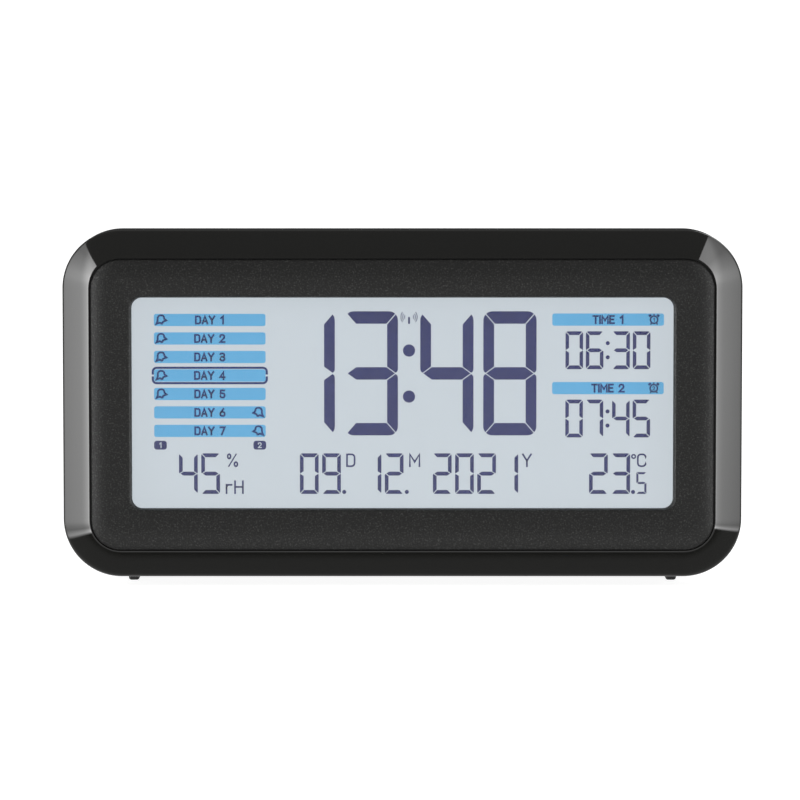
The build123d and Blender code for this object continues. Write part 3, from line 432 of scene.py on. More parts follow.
def plate_mesh(name, outlines, place, layer):
    """Thin plates, one for each outline of (x, v) millimetres, put in the scene by a rule for their place."""
    work = bmesh.new()
    for outline in outlines:
        front, back = [[work.verts.new(place(x, v, reach * mm)) for x, v in outline] for reach in layer]
        work.faces.new(front)
        work.faces.new(back[::-1])
        for i in range(len(outline)):
            j = (i + 1) % len(outline)
            work.faces.new((front[i], back[i], back[j], front[j]))
    bmesh.ops.recalc_face_normals(work, faces=work.faces)
    mesh = bpy.data.meshes.new(name)
    work.to_mesh(mesh)
    work.free()
    return mesh


def on_film(x, v, reach):
    """Places were measured in the plane of the rim; the film lies a little nearer, so it looks larger."""
    return (x * film_scale + film_shift, film_y - reach, middle_z + opening_rise * mm + v * film_scale)


def show(name, outlines, layer, material):
    """A group of display figures, centred on the middle of the case."""
    mesh = plate_mesh(name, outlines, on_film, layer)
    return new_piece(name, mesh, material, "case")


def disc(x, v, diameter, steps=32):
    """A round outline."""
    return arc((x, v), diameter / 2, 0, 360, steps)[:-1]


def keep_side(points, through, normal, gap):
    """The part of a convex outline that lies at least a gap beyond a line."""
    size = hypot(*normal)
    reach = [((x - through[0]) * normal[0] + (v - through[1]) * normal[1]) / size - gap for x, v in points]
    kept = []
    for i, (x, v) in enumerate(points):
        j = (i + 1) % len(points)
        if reach[i] >= 0:
            kept.append((x, v))
        if reach[i] * reach[j] < 0:
            share = reach[i] / (reach[i] - reach[j])
            kept.append((x + (points[j][0] - x) * share, v + (points[j][1] - v) * share))
    return kept


# The lit segments of 0 to 9: a at the top, then clockwise to f, and g across the middle
lit_segments = "abcdef bc abdeg abcdg bcfg acdfg acdefg abc abcdefg abcdfg".split()


def digit(character, x, v, width, height, upright, level, gap, corner):
    """The lit segments of a seven-segment figure, mitred with thin gaps and rounded at its outer corners."""
    right = width / 2
    top = height / 2
    tip = right - 0.2 * upright
    waist = (level / 2, 0.8 * upright)
    b = arc((right - corner, top - corner), corner, 90, 0)
    b += arc((right - corner / 2, corner / 2), corner / 2, 0, -90)
    b += [(right - upright, 0), (right - upright, top)]
    for through, normal in (((right, top), (level, -upright)), ((tip, 0), waist), ((right, 0), (0, 1))):
        b = keep_side(b, through, normal, gap / 2)
    a = arc((right - corner, top - corner), corner, 0, 90)
    a += arc((corner - right, top - corner), corner, 90, 180)
    a += [(-right, top - level), (right, top - level)]
    for side in (1, -1):
        a = keep_side(a, (side * right, top), (-side * level, upright), gap / 2)
    g = [(-right, -level / 2), (right, -level / 2), (right, level / 2), (-right, level / 2)]
    for side in (-1, 1):
        for up in (-1, 1):
            g = keep_side(g, (side * tip, 0), (-side * waist[0], -up * waist[1]), gap / 2)
    shapes = {"a": (a, 1, 1), "d": (a, 1, -1), "b": (b, 1, 1), "c": (b, 1, -1)}
    shapes.update({"f": (b, -1, 1), "e": (b, -1, -1), "g": (g, 1, 1)})
    made = []
    for segment in lit_segments[int(character)]:
        points, side, up = shapes[segment]
        made.append([(x + side * px, v + up * pv) for px, pv in points])
    return made


def rounded(points, closed):
    """A path of (x, v) or (x, v, radius) corners, with each corner turned into an arc of its radius."""
    count = len(points)
    path = []
    for i, (x, v, *radius) in enumerate(points):
        if not any(radius) or (not closed and i in (0, count - 1)):
            path.append((x, v))
            continue
        here = Vector((x, v))
        back = (Vector(points[i - 1][:2]) - here).normalized()
        ahead = (Vector(points[(i + 1) % count][:2]) - here).normalized()
        half = back.angle(ahead) / 2
        middle = here + (back + ahead).normalized() * (radius[0] / sin(half))
        run = radius[0] / tan(half)
        start = here + back * run - middle
        sweep = -start.angle_signed(here + ahead * run - middle)
        for step in range(7):
            cosine, sine = cos(sweep * step / 6), sin(sweep * step / 6)
            along = start.x * cosine - start.y * sine
            path.append((middle.x + along, middle.y + start.x * sine + start.y * cosine))
    return path


def stroke(path, width, closed=False, cap=0.0):
    """A pen line along a path, as four-sided outlines with mitred joints. A cap lengthens its open ends."""
    count = len(path)
    path = [Vector(point) for point in path]
    if cap and not closed:
        path[0] += (path[0] - path[1]).normalized() * cap
        path[-1] += (path[-1] - path[-2]).normalized() * cap
    lefts, rights = [], []
    ways = [(path[(i + 1) % count] - here).normalized() for i, here in enumerate(path)]
    for i, here in enumerate(path):
        into = ways[i - 1] if closed or i > 0 else ways[0]
        out = ways[i] if closed or i < count - 1 else into
        across = Vector((-into.y - out.y, into.x + out.x))
        # A line that turns right back has no mitre
        if across.length < 0.05:
            across = Vector((-out.y, out.x))
        across.normalize()
        lean = max(across.dot(Vector((-out.y, out.x))), 0.45)
        reach = across * (width / 2 / lean)
        lefts.append(tuple(here + reach))
        rights.append(tuple(here - reach))
    ends = range(count if closed else count - 1)
    return [[rights[i], rights[(i + 1) % count], lefts[(i + 1) % count], lefts[i]] for i in ends]


# Pen-drawn signs on a height of one: the width, and pen lines of (x, v) or (x, v, corner radius) points.
# A line whose last point is its first closes on itself.
signs = {
    "A": (0.58, [(0, 0), (0.29, 1), (0.58, 0)], [(0.1, 0.3), (0.48, 0.3)]),
    "C": (0.56, [(0.56, 0.78), (0.56, 1, 0.26), (0, 1, 0.26), (0, 0, 0.26), (0.56, 0, 0.26), (0.56, 0.22)]),
    "D": (0.54, [(0, 0), (0, 1), (0.54, 1, 0.26), (0.54, 0, 0.26), (0, 0)]),
    "E": (0.46, [(0.46, 1), (0, 1), (0, 0), (0.46, 0)], [(0, 0.52), (0.4, 0.52)]),
    "H": (0.56, [(0, 0), (0, 1)], [(0.56, 0), (0.56, 1)], [(0, 0.52), (0.56, 0.52)]),
    "I": (0.0, [(0, 0), (0, 1)]),
    "M": (0.68, [(0, 0), (0, 1), (0.34, 0.36), (0.68, 1), (0.68, 0)]),
    "r": (0.38, [(0, 0), (0, 0.7)], [(0, 0.48), (0.06, 0.7, 0.12), (0.36, 0.7)]),
    "T": (0.54, [(0, 1), (0.54, 1)], [(0.27, 1), (0.27, 0)]),
    "Y": (0.58, [(0, 1), (0.29, 0.46), (0.58, 1)], [(0.29, 0.46), (0.29, 0)]),
    "1": (0.28, [(0, 0.76), (0.24, 1), (0.24, 0)]),
    "2": (0.5, [(0, 0.74), (0, 1, 0.24), (0.48, 1, 0.24), (0.48, 0.6, 0.1), (0, 0), (0.52, 0)]),
    "3": (
        0.5,
        [(0, 0.8), (0, 1, 0.2), (0.48, 1, 0.22), (0.48, 0.53, 0.22), (0.16, 0.53)],
        [(0.16, 0.53), (0.5, 0.53, 0.24), (0.5, 0, 0.24), (0, 0, 0.24), (0, 0.22)],
    ),
    "4": (0.54, [(0.4, 0), (0.4, 1), (0, 0.26), (0.54, 0.26)]),
    "5": (
        0.5,
        [(0.46, 1), (0.05, 1), (0.02, 0.58), (0.5, 0.6, 0.25), (0.5, 0, 0.25), (0, 0, 0.25), (0, 0.22)],
    ),
    "6": (
        0.5,
        [(0.36, 1), (0, 0.4, 0.2), (0, 0, 0.24), (0.5, 0, 0.24), (0.5, 0.56, 0.24), (0.02, 0.56, 0.2)]
        + [(0, 0.3)],
    ),
    "7": (0.5, [(0, 1), (0.5, 1), (0.16, 0)]),
}


def scaled(points, x, v, across, up):
    """Corners put at (x, v) in a size of their own. Their radii go with the height."""
    return [(x + px * across, v + pv * up, *[r * up for r in radius]) for px, pv, *radius in points]


def lettering(text, x, v, height, pen, spacing=0.3, stretch=1.18):
    """Pen lines for a row of signs centred on (x, v)."""
    widths = [0.34 if letter == " " else stretch * signs[letter][0] for letter in text]
    cursor = -(sum(widths) + spacing * (len(text) - 1)) / 2
    scale = height - pen
    made = []
    for letter, width in zip(text, widths):
        left = x + cursor * scale
        for line in [] if letter == " " else signs[letter][1:]:
            closed = line[0] == line[-1]
            corners = scaled(line[:-1] if closed else line, left, v - scale / 2, stretch * scale, scale)
            made += stroke(rounded(corners, closed), pen, closed, pen / 2)
        cursor += width + spacing
    return made


# Darkened crystal: navy, flat and even, and a deep blue over the filter print, which is sky blue and lit from
# behind.
navy_crystal = flat_finish("darkened_liquid_crystal", "2a316a", "252c67", "29306b", 6)
blue_crystal = flat_finish("darkened_crystal_on_print", "00286f", "00266c", "002a72", 6)
blue_print = flat_finish("blue_filter_print", "2c5a78", "2a5876", "2e5c7a", 6, "5fb0de", 0.718)

# The bars behind the weekday and alarm rows, and plain words and numbers in them
weekday_x = -42.45
weekday_levels = [18.31 - 4.09 * row for row in range(7)]
heading_x = 45.43
heading_levels = [18.39, 3.24]
bar_size = (24.63, 2.71, 0.5)
word_size = (1.97, 0.4)
bar_places = [(weekday_x, v) for v in weekday_levels] + [(heading_x, v) for v in heading_levels]
show("display_bars", [round_bar(x, v, *bar_size) for x, v in bar_places], bar_layer, blue_print)
words = []
for word, x, levels in (("DAY", weekday_x, weekday_levels), ("TIME", heading_x, heading_levels)):
    for row, v in enumerate(levels):
        words += lettering(f"{word} {row + 1}", x, v, *word_size)
show("display_words", words, figure_layer, blue_crystal)

# Outline bells beside the weekdays, the frame round the fourth of them, and the two small number tags
bell_size = 2.3
bell_pen = 0.41
bell_corners = [(-0.34, 0.44, 0.3), (0.27, 0.44, 0.24), (0.29, 0.12, 0.08), (0.5, -0.05), (0.18, -0.17, 0.04)]
bell_corners += [(0.08, -0.4, 0.08), (-0.12, -0.25, 0.04), (-0.48, -0.4), (-0.34, -0.14, 0.1)]
marks = []
for row, v in enumerate(weekday_levels):
    side, x = (1, -53.15) if row < 5 else (-1, -31.75)
    corners = scaled(bell_corners, x, v, side * bell_size, bell_size)
    marks += stroke(rounded(corners, True), bell_pen, True)
frame_half = 12.58
frame_top = 1.7
frame_gap = 0.2
frame_corner = 0.85
frame_pen = 0.48
for side in (-1, 1):
    for up in (-1, 1):
        edge_x = weekday_x + side * frame_half
        edge_v = weekday_levels[3] + up * frame_top
        start = (edge_x, weekday_levels[3] + up * frame_gap)
        quarter = rounded([start, (edge_x, edge_v, frame_corner), (weekday_x, edge_v)], False)
        marks += stroke(quarter, frame_pen)
show("display_marks", marks, figure_layer, blue_crystal)
tag_v = -9.4
tag_size = (2.8, 1.95, 0.6)
tag_number_size = (1.25, 0.19)
tags = {"1": -53.4, "2": -31.45}
show("display_tags", [round_bar(x, tag_v, *tag_size) for x in tags.values()], figure_layer, navy_crystal)
tag_numbers = [line for text, x in tags.items() for line in lettering(text, x, tag_v, *tag_number_size)]
show("display_tag_numbers", tag_numbers, clear_layer, polariser)


def row_of(text, places, v, kind):
    """Figures at their places along a row."""
    return [part for character, x in zip(text, places) for part in digit(character, x, v, *kind)]


# The time in tall figures, the two alarm times, and along the bottom humidity, date and temperature
# Kinds of figures: width, height, thickness of the upright and level segments, gap and corner radius
time_kind = (11.74, 27.45, 2.38, 2.74, 0.2, 2.0)
alarm_kind = (3.87, 8.37, 0.77, 0.83, 0.18, 0.55)
bottom_kind = (4.13, 9.0, 0.81, 0.85, 0.18, 0.55)
tenth_kind = (2.25, 4.84, 0.47, 0.47, 0.1, 0.25)
colon_x = 1.52
dot_size = 0.9
figures = row_of("1348", (-20.72, -6.8, 9.87, 23.78), 6.5, time_kind)
figures += [disc(colon_x, v, 2.7, 40) for v in (11.56, 1.37)]
for text, v in (("0630", 11.62), ("0745", -3.49)):
    figures += row_of(text, (37.98, 42.47, 48.3, 52.83), v, alarm_kind)
    figures += [disc(45.36, v + rise, dot_size, 20) for rise in (1.57, -1.56)]
bottom_v = -15.71
bottom_figures = {
    "45": (-47.25, -42.33),
    "09": (-20.53, -15.61),
    "12": (-6.66, -1.76),
    "2021": (8.87, 13.78, 18.67, 23.58),
    "23": (43.39, 48.33),
}
for text, places in bottom_figures.items():
    figures += row_of(text, places, bottom_v, bottom_kind)
figures += row_of("5", (52.9,), -17.79, tenth_kind)
figures += [disc(x, -19.78, dot_size, 20) for x in (-12.8, 1.04, 51.07)]
show("display_figures", figures, figure_layer, navy_crystal)

# Unit signs
unit_v = -12.75
lower_unit_v = -18.72
unit_size = (3.0, 0.38)
units = []
for letter, x in (("D", -11.35), ("M", 2.77), ("Y", 27.58), ("C", 52.96)):
    units += lettering(letter, x, unit_v, *unit_size)
for letter, x in (("r", -38.24), ("H", -36.08)):
    units += lettering(letter, x, lower_unit_v, *unit_size)
units += stroke(disc(51.16, -11.9, 0.8, 24), 0.32, True)
percent_x = -37.49
for side in (-1, 1):
    ring = round_bar(percent_x + side * 0.74, unit_v - side * 0.87, 0.64, 0.9, 0.32)
    units += stroke(ring, 0.35, True)
units += stroke([(percent_x - 0.9, unit_v - 1.45), (percent_x + 0.85, unit_v + 1.45)], 0.28)
show("display_units", units, figure_layer, navy_crystal)

# The radio mast above the colon, and a small alarm clock beside each alarm
mast_v = 18.2
mast_height = 1.5
wave_pen = 0.16
mast = [round_bar(colon_x, mast_v, 0.42, mast_height, 0.05)]
for side in (0, 180):
    for ring, spread in ((0.98, 24), (1.4, 30), (1.8, 37)):
        wave = arc((colon_x, mast_v + mast_height / 2), ring, side - spread, side + spread)
        mast += stroke(wave, wave_pen)
show("display_mast", mast, figure_layer, navy_crystal)
clock_x = 55.55
clock_number_size = (0.9, 0.17)
icons = []
for number, v in zip("12", heading_levels):
    icons += stroke(disc(clock_x, v - 0.02, 1.62, 32), 0.34, True)
    icons.append(disc(clock_x, v + 1.12, 0.34, 12))
    for side in (-1, 1):
        # A bell and a leg at each side
        icons += stroke([(clock_x + side * 0.66, v + 1.08), (clock_x + side * 1.16, v + 0.7)], 0.48)
        icons += stroke([(clock_x + side * 0.52, v - 0.74), (clock_x + side * 0.8, v - 1.1)], 0.3)
    icons += lettering(number, clock_x, v - 0.04, *clock_number_size)
show("display_icons", icons, figure_layer, blue_crystal)


# Display light and holder
# A white ABS tray behind the glass with a reflector film, an acrylic light guide and four lamps. A strip of
# layered rubber, pressed between glass and board, carries the signals.

# Moulded ABS: plain white with a soft sheen.
dress(["display_holder"], "white_moulded_abs", "e6e5e0", (2, 0.42, 0.55), IOR=1.54)

# Filled film: a dead, chalky white.
dress(["reflector_sheet"], "white_reflector_film", "f2f2f0", (1, 0.65, 0.8), IOR=1.5)

# Acrylic with printed dots that throw the light forward: milky clear.
surface = {"IOR": 1.49, "Transmission_Weight": 0.6}
dress(["light_guide"], "dotted_guide_acrylic", "eef3f4", (0.8, 0.2, 0.6, 0.0), **surface)

# Cast epoxy over the lamp's phosphor: yellowish and glassy.
tree = dress(["backlight_lamps"], "cast_lamp_epoxy", "ece6a8", Roughness=0.2, IOR=1.5)
add_shades(tree, add_clouds(tree, 1.5), [(0.35, "efe9c2"), (0.65, "e8df92")])


def add_stripes(tree, pitch):
    """Stripes across the piece's X axis, with a pitch in millimetres."""
    place = add_node(tree, "TexCoord")
    inputs = {"Vector": place.outputs["Object"], "Scale": pi / 10 / (pitch * mm)}
    return add_node(tree, "TexWave", inputs, bands_direction="X").outputs["Fac"]


# Layers of carbon-filled and plain silicone, cut across: fine dark and pale stripes along the strip.
tree = dress(["contact_strip"], "layered_contact_rubber", "3a3a3c", Roughness=0.6, IOR=1.43)
add_shades(tree, add_stripes(tree, 0.5), [(0.45, "242426"), (0.55, "9a9a98")])


# Boards and the parts soldered to them
# Glass-fibre boards in green lacquer over copper tracks, with black resin packages, a crystal in a steel can
# and a capacitor in a shrink sleeve.

# Lacquered board: tracks show as paler green lines under the gloss.
boards = ["main_board", "receiver_board", "key_board", "sensor_board"]
tree = dress(boards, "lacquered_circuit_board", "1f5a35", (4, 0.25, 0.4), IOR=1.5)
place = add_node(tree, "TexCoord")
inputs = {"Vector": place.outputs["Object"], "Rotation": (pi / 2, 0, 0)}
track_pitch = 2.54 * mm
inputs = {
    "Vector": add_node(tree, "Mapping", inputs),
    "Scale": 1.0,
    "Brick Width": 9 * track_pitch,
    "Row Height": track_pitch,
    "Mortar Size": 0.3 * mm,
}
tracks = add_node(tree, "TexBrick", inputs).outputs["Fac"]
add_shades(tree, tracks, [(0.0, "17482a"), (1.0, "2f7c4a")])

# Cast resin: black, slightly matt, with the skin of a drop that has set.
tree = dress(["controller_blob", "receiver_chip"], "cast_chip_resin", "171718", (1.2, 0.22, 0.4), IOR=1.55)
add_relief(tree, add_clouds(tree, 1.2), 0.02)

# Moulded nylon of the push switches and their plungers: black with a soft sheen.
keys = ["set", "alarm_one", "alarm_two", "plus", "minus"]
switches = ["key_switches", "snooze_switch", "snooze_plunger", *[f"{key}_plunger" for key in keys]]
dress(switches, "moulded_switch_nylon", "222223", (0.6, 0.38, 0.55), IOR=1.53)

# Sensor package: pale resin, matt.
dress(["climate_sensor"], "pale_sensor_resin", "dedcd2", (0.5, 0.45, 0.6), IOR=1.5)

# Shrink sleeve over an aluminium can: dark blue and shiny, with slight creases.
tree = dress(["capacitor"], "capacitor_shrink_sleeve", "2a2f52", (1.5, 0.2, 0.35), IOR=1.5)
add_relief(tree, add_clouds(tree, 1.5), 0.03)


# Leads inside the case
# Stranded wire in soft vinyl from the battery contacts, sounder and sensor to the main board, and a flat
# ribbon from the key board. All are soldered at both ends.


def add_way(tree, axis, start, end, chart="Object", low=0.0, high=1.0, **settings):
    """A value that goes from low to high between two places along an axis."""
    place = add_node(tree, "TexCoord")
    split = add_node(tree, "SeparateXYZ", {"Vector": place.outputs[chart]})
    inputs = {"Value": split.outputs[axis], "From Min": start, "From Max": end, "To Min": low, "To Max": high}
    return add_node(tree, "MapRange", inputs, **settings)


# Extruded vinyl: red for the higher leads and black for the lower ones, slightly greasy in its shine.
tree = dress(["battery_leads", "sounder_leads"], "extruded_lead_vinyl", "8e1b1b", (1, 0.32, 0.45), IOR=1.53)
height = add_way(tree, "Z", 10 * mm, 40 * mm)
add_shades(tree, height, [(0.0, "1b1b1c"), (0.5, "8e1b1b")], "CONSTANT")

# Grey vinyl of the thinner leads and the ribbon, with a fine rib for each wire of the ribbon and painted
# shade between the ribs.
tree = dress(["sensor_leads", "key_ribbon"], "ribbed_ribbon_vinyl", "8f9092", Roughness=0.45, IOR=1.53)
ribs_and_painted_shade = add_stripes(tree, 1.27)
# Painted shade: the colour darkens in the hollows between the ribs, following the relief.
add_shades(tree, ribs_and_painted_shade, [(0.0, "6f7072"), (0.4, "97989a")])
add_relief(tree, ribs_and_painted_shade, 0.15)


# Aerial and sounder
# A ferrite rod in a winding of enamelled copper lies in two saddles on the battery bay. The sounder is a
# brass plate with a thin ceramic disc on it, held in a ring behind the sound holes.

# Sintered ferrite: dark grey and gritty.
tree = dress(["ferrite_rod"], "sintered_ferrite", "37373a", (0.5, 0.5, 0.7, 4.0), IOR=1.9)
add_relief(tree, add_clouds(tree, 0.5, 4.0), 0.03)

# Enamelled copper wound turn by turn: orange-brown ridges, with painted shade in the hollows between the
# turns.
surface = {"Metallic": 1.0, "Roughness": 0.28}
tree = dress(["aerial_coil", "aerial_leads"], "enamelled_copper_winding", "b8663c", **surface)
turns_and_painted_shade = add_stripes(tree, 0.6)
# Painted shade: darker between the turns and brighter on the ridges, following the relief.
add_shades(tree, turns_and_painted_shade, [(0.0, "7c3d1f"), (0.5, "c0704a")])
add_relief(tree, turns_and_painted_shade, 0.2)

# Rolled brass: warm metal with a faint grain of the roll.
dress(["sounder_plate"], "rolled_brass_sheet", "c9a55a", (2, 0.22, 0.4, 4.0), Metallic=1.0)

# Fired ceramic with a silvered face: pale and finely speckled.
dress(["sounder_disc"], "fired_sounder_ceramic", "d9d7d0", (0.4, 0.45, 0.7, 3.0), IOR=1.7)


# Rear shell
# One deep moulding in black ABS that closes the clock from behind, with the battery bay, the key recess, the
# sound holes and the sensor vents in it. Four screws in deep wells hold it to the bezel.

# Fine spark-eroded grain: a soft satin black, a little polished on its edges.
satin_abs, tree = new_finish("satin_grained_abs", "1c1c1a", (0.45, 0.52, 0.38, 3.0), IOR=1.54)
add_relief(tree, add_clouds(tree, 0.45, 3.0), 0.03, 0.3)
paint(satin_abs, "rear_shell")


# Keys
# A broad snooze and light key in the top and five small setting keys in the back, moulded in the same ABS.
# Each setting key has a small sign printed on it by a soft pad: clock, alarms one and two, plus and minus.

# Moulded in a finer tool than the shell: smoother and a shade darker.
key_nodes = ["snooze_key", *[f"{key}_key" for key in keys]]
tree = dress(key_nodes, "fine_grained_key_abs", "171716", (0.3, 0.42, 0.3), IOR=1.54)
add_relief(tree, add_clouds(tree, 0.3), 0.012, 0.25)

# Pad-printed ink: flat off-white, a little worn.
pad_ink, tree = new_finish("pad_printed_ink", "d5d6d4", Roughness=0.6, IOR=1.5)
add_shades(tree, add_clouds(tree, 0.5, 3.0), [(0.35, "b9bab8"), (0.55, "dcdddb")])
sign_size = 2.7
sign_pen = 0.36
arm = sign_size / 2
clock_hands = [(0, 0.78), (0, 0), (0.62, -0.36)]
level_bar = stroke([(-arm, 0), (arm, 0)], sign_pen)
key_signs = {
    "set": stroke(disc(0, 0, sign_size, 36), sign_pen, True) + stroke(clock_hands, sign_pen * 0.9),
    "alarm_one": lettering("1", 0, 0, sign_size, sign_pen),
    "alarm_two": lettering("2", 0, 0, sign_size, sign_pen),
    "plus": level_bar + stroke([(0, -arm), (0, arm)], sign_pen),
    "minus": level_bar,
}
ink_layer = (-0.02, 0.03)


def on_key(x, v, reach):
    """A place on the back of the key at hand, read from behind."""
    return (key_middle.x - x * mm, key_high.y + reach, key_middle.z + v * mm)


for key in keys:
    key_low, key_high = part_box(f"{key}_key")
    key_middle = (key_low + key_high) / 2
    mesh = plate_mesh(f"{key}_sign", key_signs[key], on_key, ink_layer)
    new_piece(f"{key}_sign", mesh, pad_ink, key)


# Battery contacts and cells
# Flat contacts and coiled springs of nickel-plated steel at the ends of the bay, and two AA cells in printed
# shrink sleeves.

# Bright nickel: silvery with a faint warm cast and light scuffs.
nickel, tree = new_finish("bright_nickel_plate", "cfcac0", (1.5, 0.15, 0.32, 4.0), Metallic=1.0)
paint(nickel, "bridge_contact", "positive_contact", "negative_contact")

coil_sizes = ["Rotations", "Start Radius", "End Radius", "Height"]
tree, size = new_rule("battery_spring", *coil_sizes, "Wire Radius", "Side")
coil = add_node(tree, "CurveSpiral", {"Resolution": 40, **{name: size[name] for name in coil_sizes}})
wire = add_node(tree, "CurvePrimitiveCircle", {"Resolution": 12, "Radius": size["Wire Radius"]})
spring = add_node(tree, "CurveToMesh", {"Curve": coil, "Profile Curve": wire, "Fill Caps": True})
angle = add_node(tree, "ShaderNodeMath", {0: size["Side"], 1: pi / 2}, operation="MULTIPLY")
turn = add_node(tree, "ShaderNodeCombineXYZ", {"Y": angle})
laid = add_node(tree, "Transform", {"Geometry": spring, "Rotation": turn})
placed = add_node(tree, "InstanceOnPoints", {"Points": size["Geometry"], "Instance": laid})
end_rule(tree, placed, nickel)
spring_wire = 0.35 * mm
spring_sizes = {"Rotations": 3.0, "Start Radius": 4.6 * mm, "End Radius": 2.6 * mm}
spring_sizes["Wire Radius"] = spring_wire
sides = {"upper": 1, "lower": -1}
for name, side in sides.items():
    low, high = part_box(f"{name}_spring")
    start_x = low.x + spring_wire if side > 0 else high.x - spring_wire
    cell_low, cell_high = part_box(f"{name}_cell")
    middle = (cell_low + cell_high) / 2
    base = new_mesh(f"{name}_spring_place", [(start_x, middle.y, middle.z)])
    sizes = {**spring_sizes, "Height": high.x - low.x - 2 * spring_wire, "Side": float(side)}
    spring = follow_rule(f"{name}_coil_spring", tree, base, sizes)
    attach(spring, "case")
    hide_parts(f"{name}_spring")

# Steel can in a printed sleeve: bare metal at the ends, a pale band by the raised end, then deep green.
# Shares of the length at which the sleeve begins and ends
bare_start = 0.025
bare_end = 0.955
sleeve_stops = [(0.0, "b7b4ac"), (bare_start, "1d4f44"), (0.78, "c9cbc8"), (0.8, "d8dad6")]
sleeve_stops.append((bare_end, "b7b4ac"))
for name, side in sides.items():
    low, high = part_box(f"{name}_cell")
    tree = dress([f"{name}_cell"], f"{name}_cell_sleeve", "23564a", (3, 0.2, 0.34), IOR=1.5)
    flat_end, raised_end = (low.x, high.x) if side > 0 else (high.x, low.x)
    along = add_way(tree, "X", flat_end, raised_end)
    add_shades(tree, along, sleeve_stops, "CONSTANT")
    add_shades(tree, along, [(0, 1), (bare_start, 0), (bare_end, 1)], "CONSTANT", "Metallic")


# Battery door
# A flat lid of the same grained ABS. Two hooks along its lower edge turn in slots of the shell, and a bead on
# its upper edge snaps under the frame, with three grooves for the thumb.

paint(satin_abs, "battery_door")


# Feet
# Four pads of black silicone rubber, moulded with rounded soles and pressed into sockets in the underside.

# Silicone: black, softly shiny, a little dusty.
foot_rubber, tree = new_finish("moulded_foot_silicone", "161616", (0.8, 0.32, 0.5), IOR=1.43)
foot_low, foot_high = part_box("feet")
foot_width = 2.4 * mm
foot_length = 7.0 * mm
foot_height = foot_high.z - foot_low.z
sole_round = 0.6 * mm
work = bmesh.new()
bmesh.ops.create_cube(work, size=1.0)
bmesh.ops.scale(work, vec=(foot_width, foot_length, foot_height), verts=work.verts)
sole = [edge for edge in work.edges if min(v.co.z for v in edge.verts) < 0]
bmesh.ops.bevel(work, geom=sole, offset=sole_round, segments=5, profile=0.5, affect="EDGES")
foot_mesh = bpy.data.meshes.new("foot_pad")
work.to_mesh(foot_mesh)
work.free()
tree, size = new_rule("four_feet", "Across", "Along")
inputs = {"Size X": size["Across"], "Size Y": size["Along"], "Vertices X": 2, "Vertices Y": 2}
grid = add_node(tree, "MeshGrid", inputs)
places = add_node(tree, "Transform", {"Geometry": grid, "Translation": (foot_low + foot_high) / 2})
placed = add_node(tree, "InstanceOnPoints", {"Points": places, "Instance": size["Geometry"]})
end_rule(tree, placed, foot_rubber)
sizes = {"Across": foot_high.x - foot_low.x - foot_width, "Along": foot_high.y - foot_low.y - foot_length}
feet = follow_rule("rubber_feet", tree, foot_mesh, sizes)
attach(feet, "case")
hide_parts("feet")


# Screws
# Pan-headed screws of zinc-plated steel with a cross recess: four at the bottom of the wells in the back,
# four through the main board and two through the key board.

# Zinc plate: pale blue-grey metal, slightly cloudy.
zinc_steel, tree = new_finish("zinc_plated_steel", "b9bab4", (0.7, 0.25, 0.42, 3.0), Metallic=1.0)
paint(zinc_steel, "clock_crystal")
screw_sizes = ["Head Radius", "Head Height", "Shank Radius", "Shank Length", "Facing"]
tree, size = new_rule("cross_screws", *screw_sizes)
# Sizes and turns that follow from these: a size and what it is multiplied by
shares = {
    "crown": ("Head Radius", 0.72),
    "slot_length": ("Head Radius", 1.05),
    "slot_width": ("Head Radius", 0.26),
    "drop": ("Shank Length", -0.5),
    "lean": ("Facing", -pi / 2),
}
made = {}
for name, (socket, factor) in shares.items():
    made[name] = add_node(tree, "ShaderNodeMath", {0: size[socket], 1: factor}, operation="MULTIPLY")
inputs = {"Vertices": 32, "Radius Top": made["crown"], "Radius Bottom": size["Head Radius"]}
head = add_node(tree, "MeshCone", {**inputs, "Depth": size["Head Height"]})
rise = add_node(tree, "ShaderNodeCombineXYZ", {"Z": size["Head Height"]})
cutters = []
for x_size, y_size in (("slot_length", "slot_width"), ("slot_width", "slot_length")):
    inputs = {"X": made[x_size], "Y": made[y_size], "Z": size["Head Height"]}
    cutter = add_node(tree, "MeshCube", {"Size": add_node(tree, "ShaderNodeCombineXYZ", inputs)})
    cutters.append(add_node(tree, "Transform", {"Geometry": cutter, "Translation": rise}))
inputs = {"Mesh 1": head, "Mesh 2": cutters}
cut_head = add_node(tree, "MeshBoolean", inputs, operation="DIFFERENCE", solver="EXACT")
inputs = {"Vertices": 24, "Radius": size["Shank Radius"], "Depth": size["Shank Length"]}
shank = add_node(tree, "MeshCylinder", inputs)
drop = add_node(tree, "ShaderNodeCombineXYZ", {"Z": made["drop"]})
sunk = add_node(tree, "Transform", {"Geometry": shank, "Translation": drop})
screw = add_node(tree, "JoinGeometry", {"Geometry": [cut_head, sunk]})
turn = add_node(tree, "ShaderNodeCombineXYZ", {"X": made["lean"]})
turned = add_node(tree, "Transform", {"Geometry": screw, "Rotation": turn})
placed = add_node(tree, "InstanceOnPoints", {"Points": size["Geometry"], "Instance": turned})
end_rule(tree, placed, zinc_steel)
# Head radius and height, shank radius, which way the head faces, and whether there are two rows of them
screw_kinds = {
    "case_screws": (2.3, 1.7, 1.25, 1, True),
    "board_screws": (1.9, 1.2, 0.95, 1, True),
    "key_board_screws": (1.9, 1.2, 0.95, -1, False),
}
for name, (head_radius, head_height, shank_radius, facing, two_rows) in screw_kinds.items():
    low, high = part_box(name)
    seat_y = high.y - head_height * mm if facing > 0 else low.y + head_height * mm
    inset = head_radius * mm
    levels = [low.z + inset, high.z - inset] if two_rows else [(low.z + high.z) / 2]
    places = [(x, seat_y, z) for x in (low.x + inset, high.x - inset) for z in levels]
    base = new_mesh(f"{name}_places", places)
    shank_length = high.y - low.y - head_height * mm
    values = (head_radius * mm, head_height * mm, shank_radius * mm, shank_length, float(facing))
    screws = follow_rule(f"cross_{name}", tree, base, dict(zip(screw_sizes, values)))
    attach(screws, "case")
    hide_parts(name)


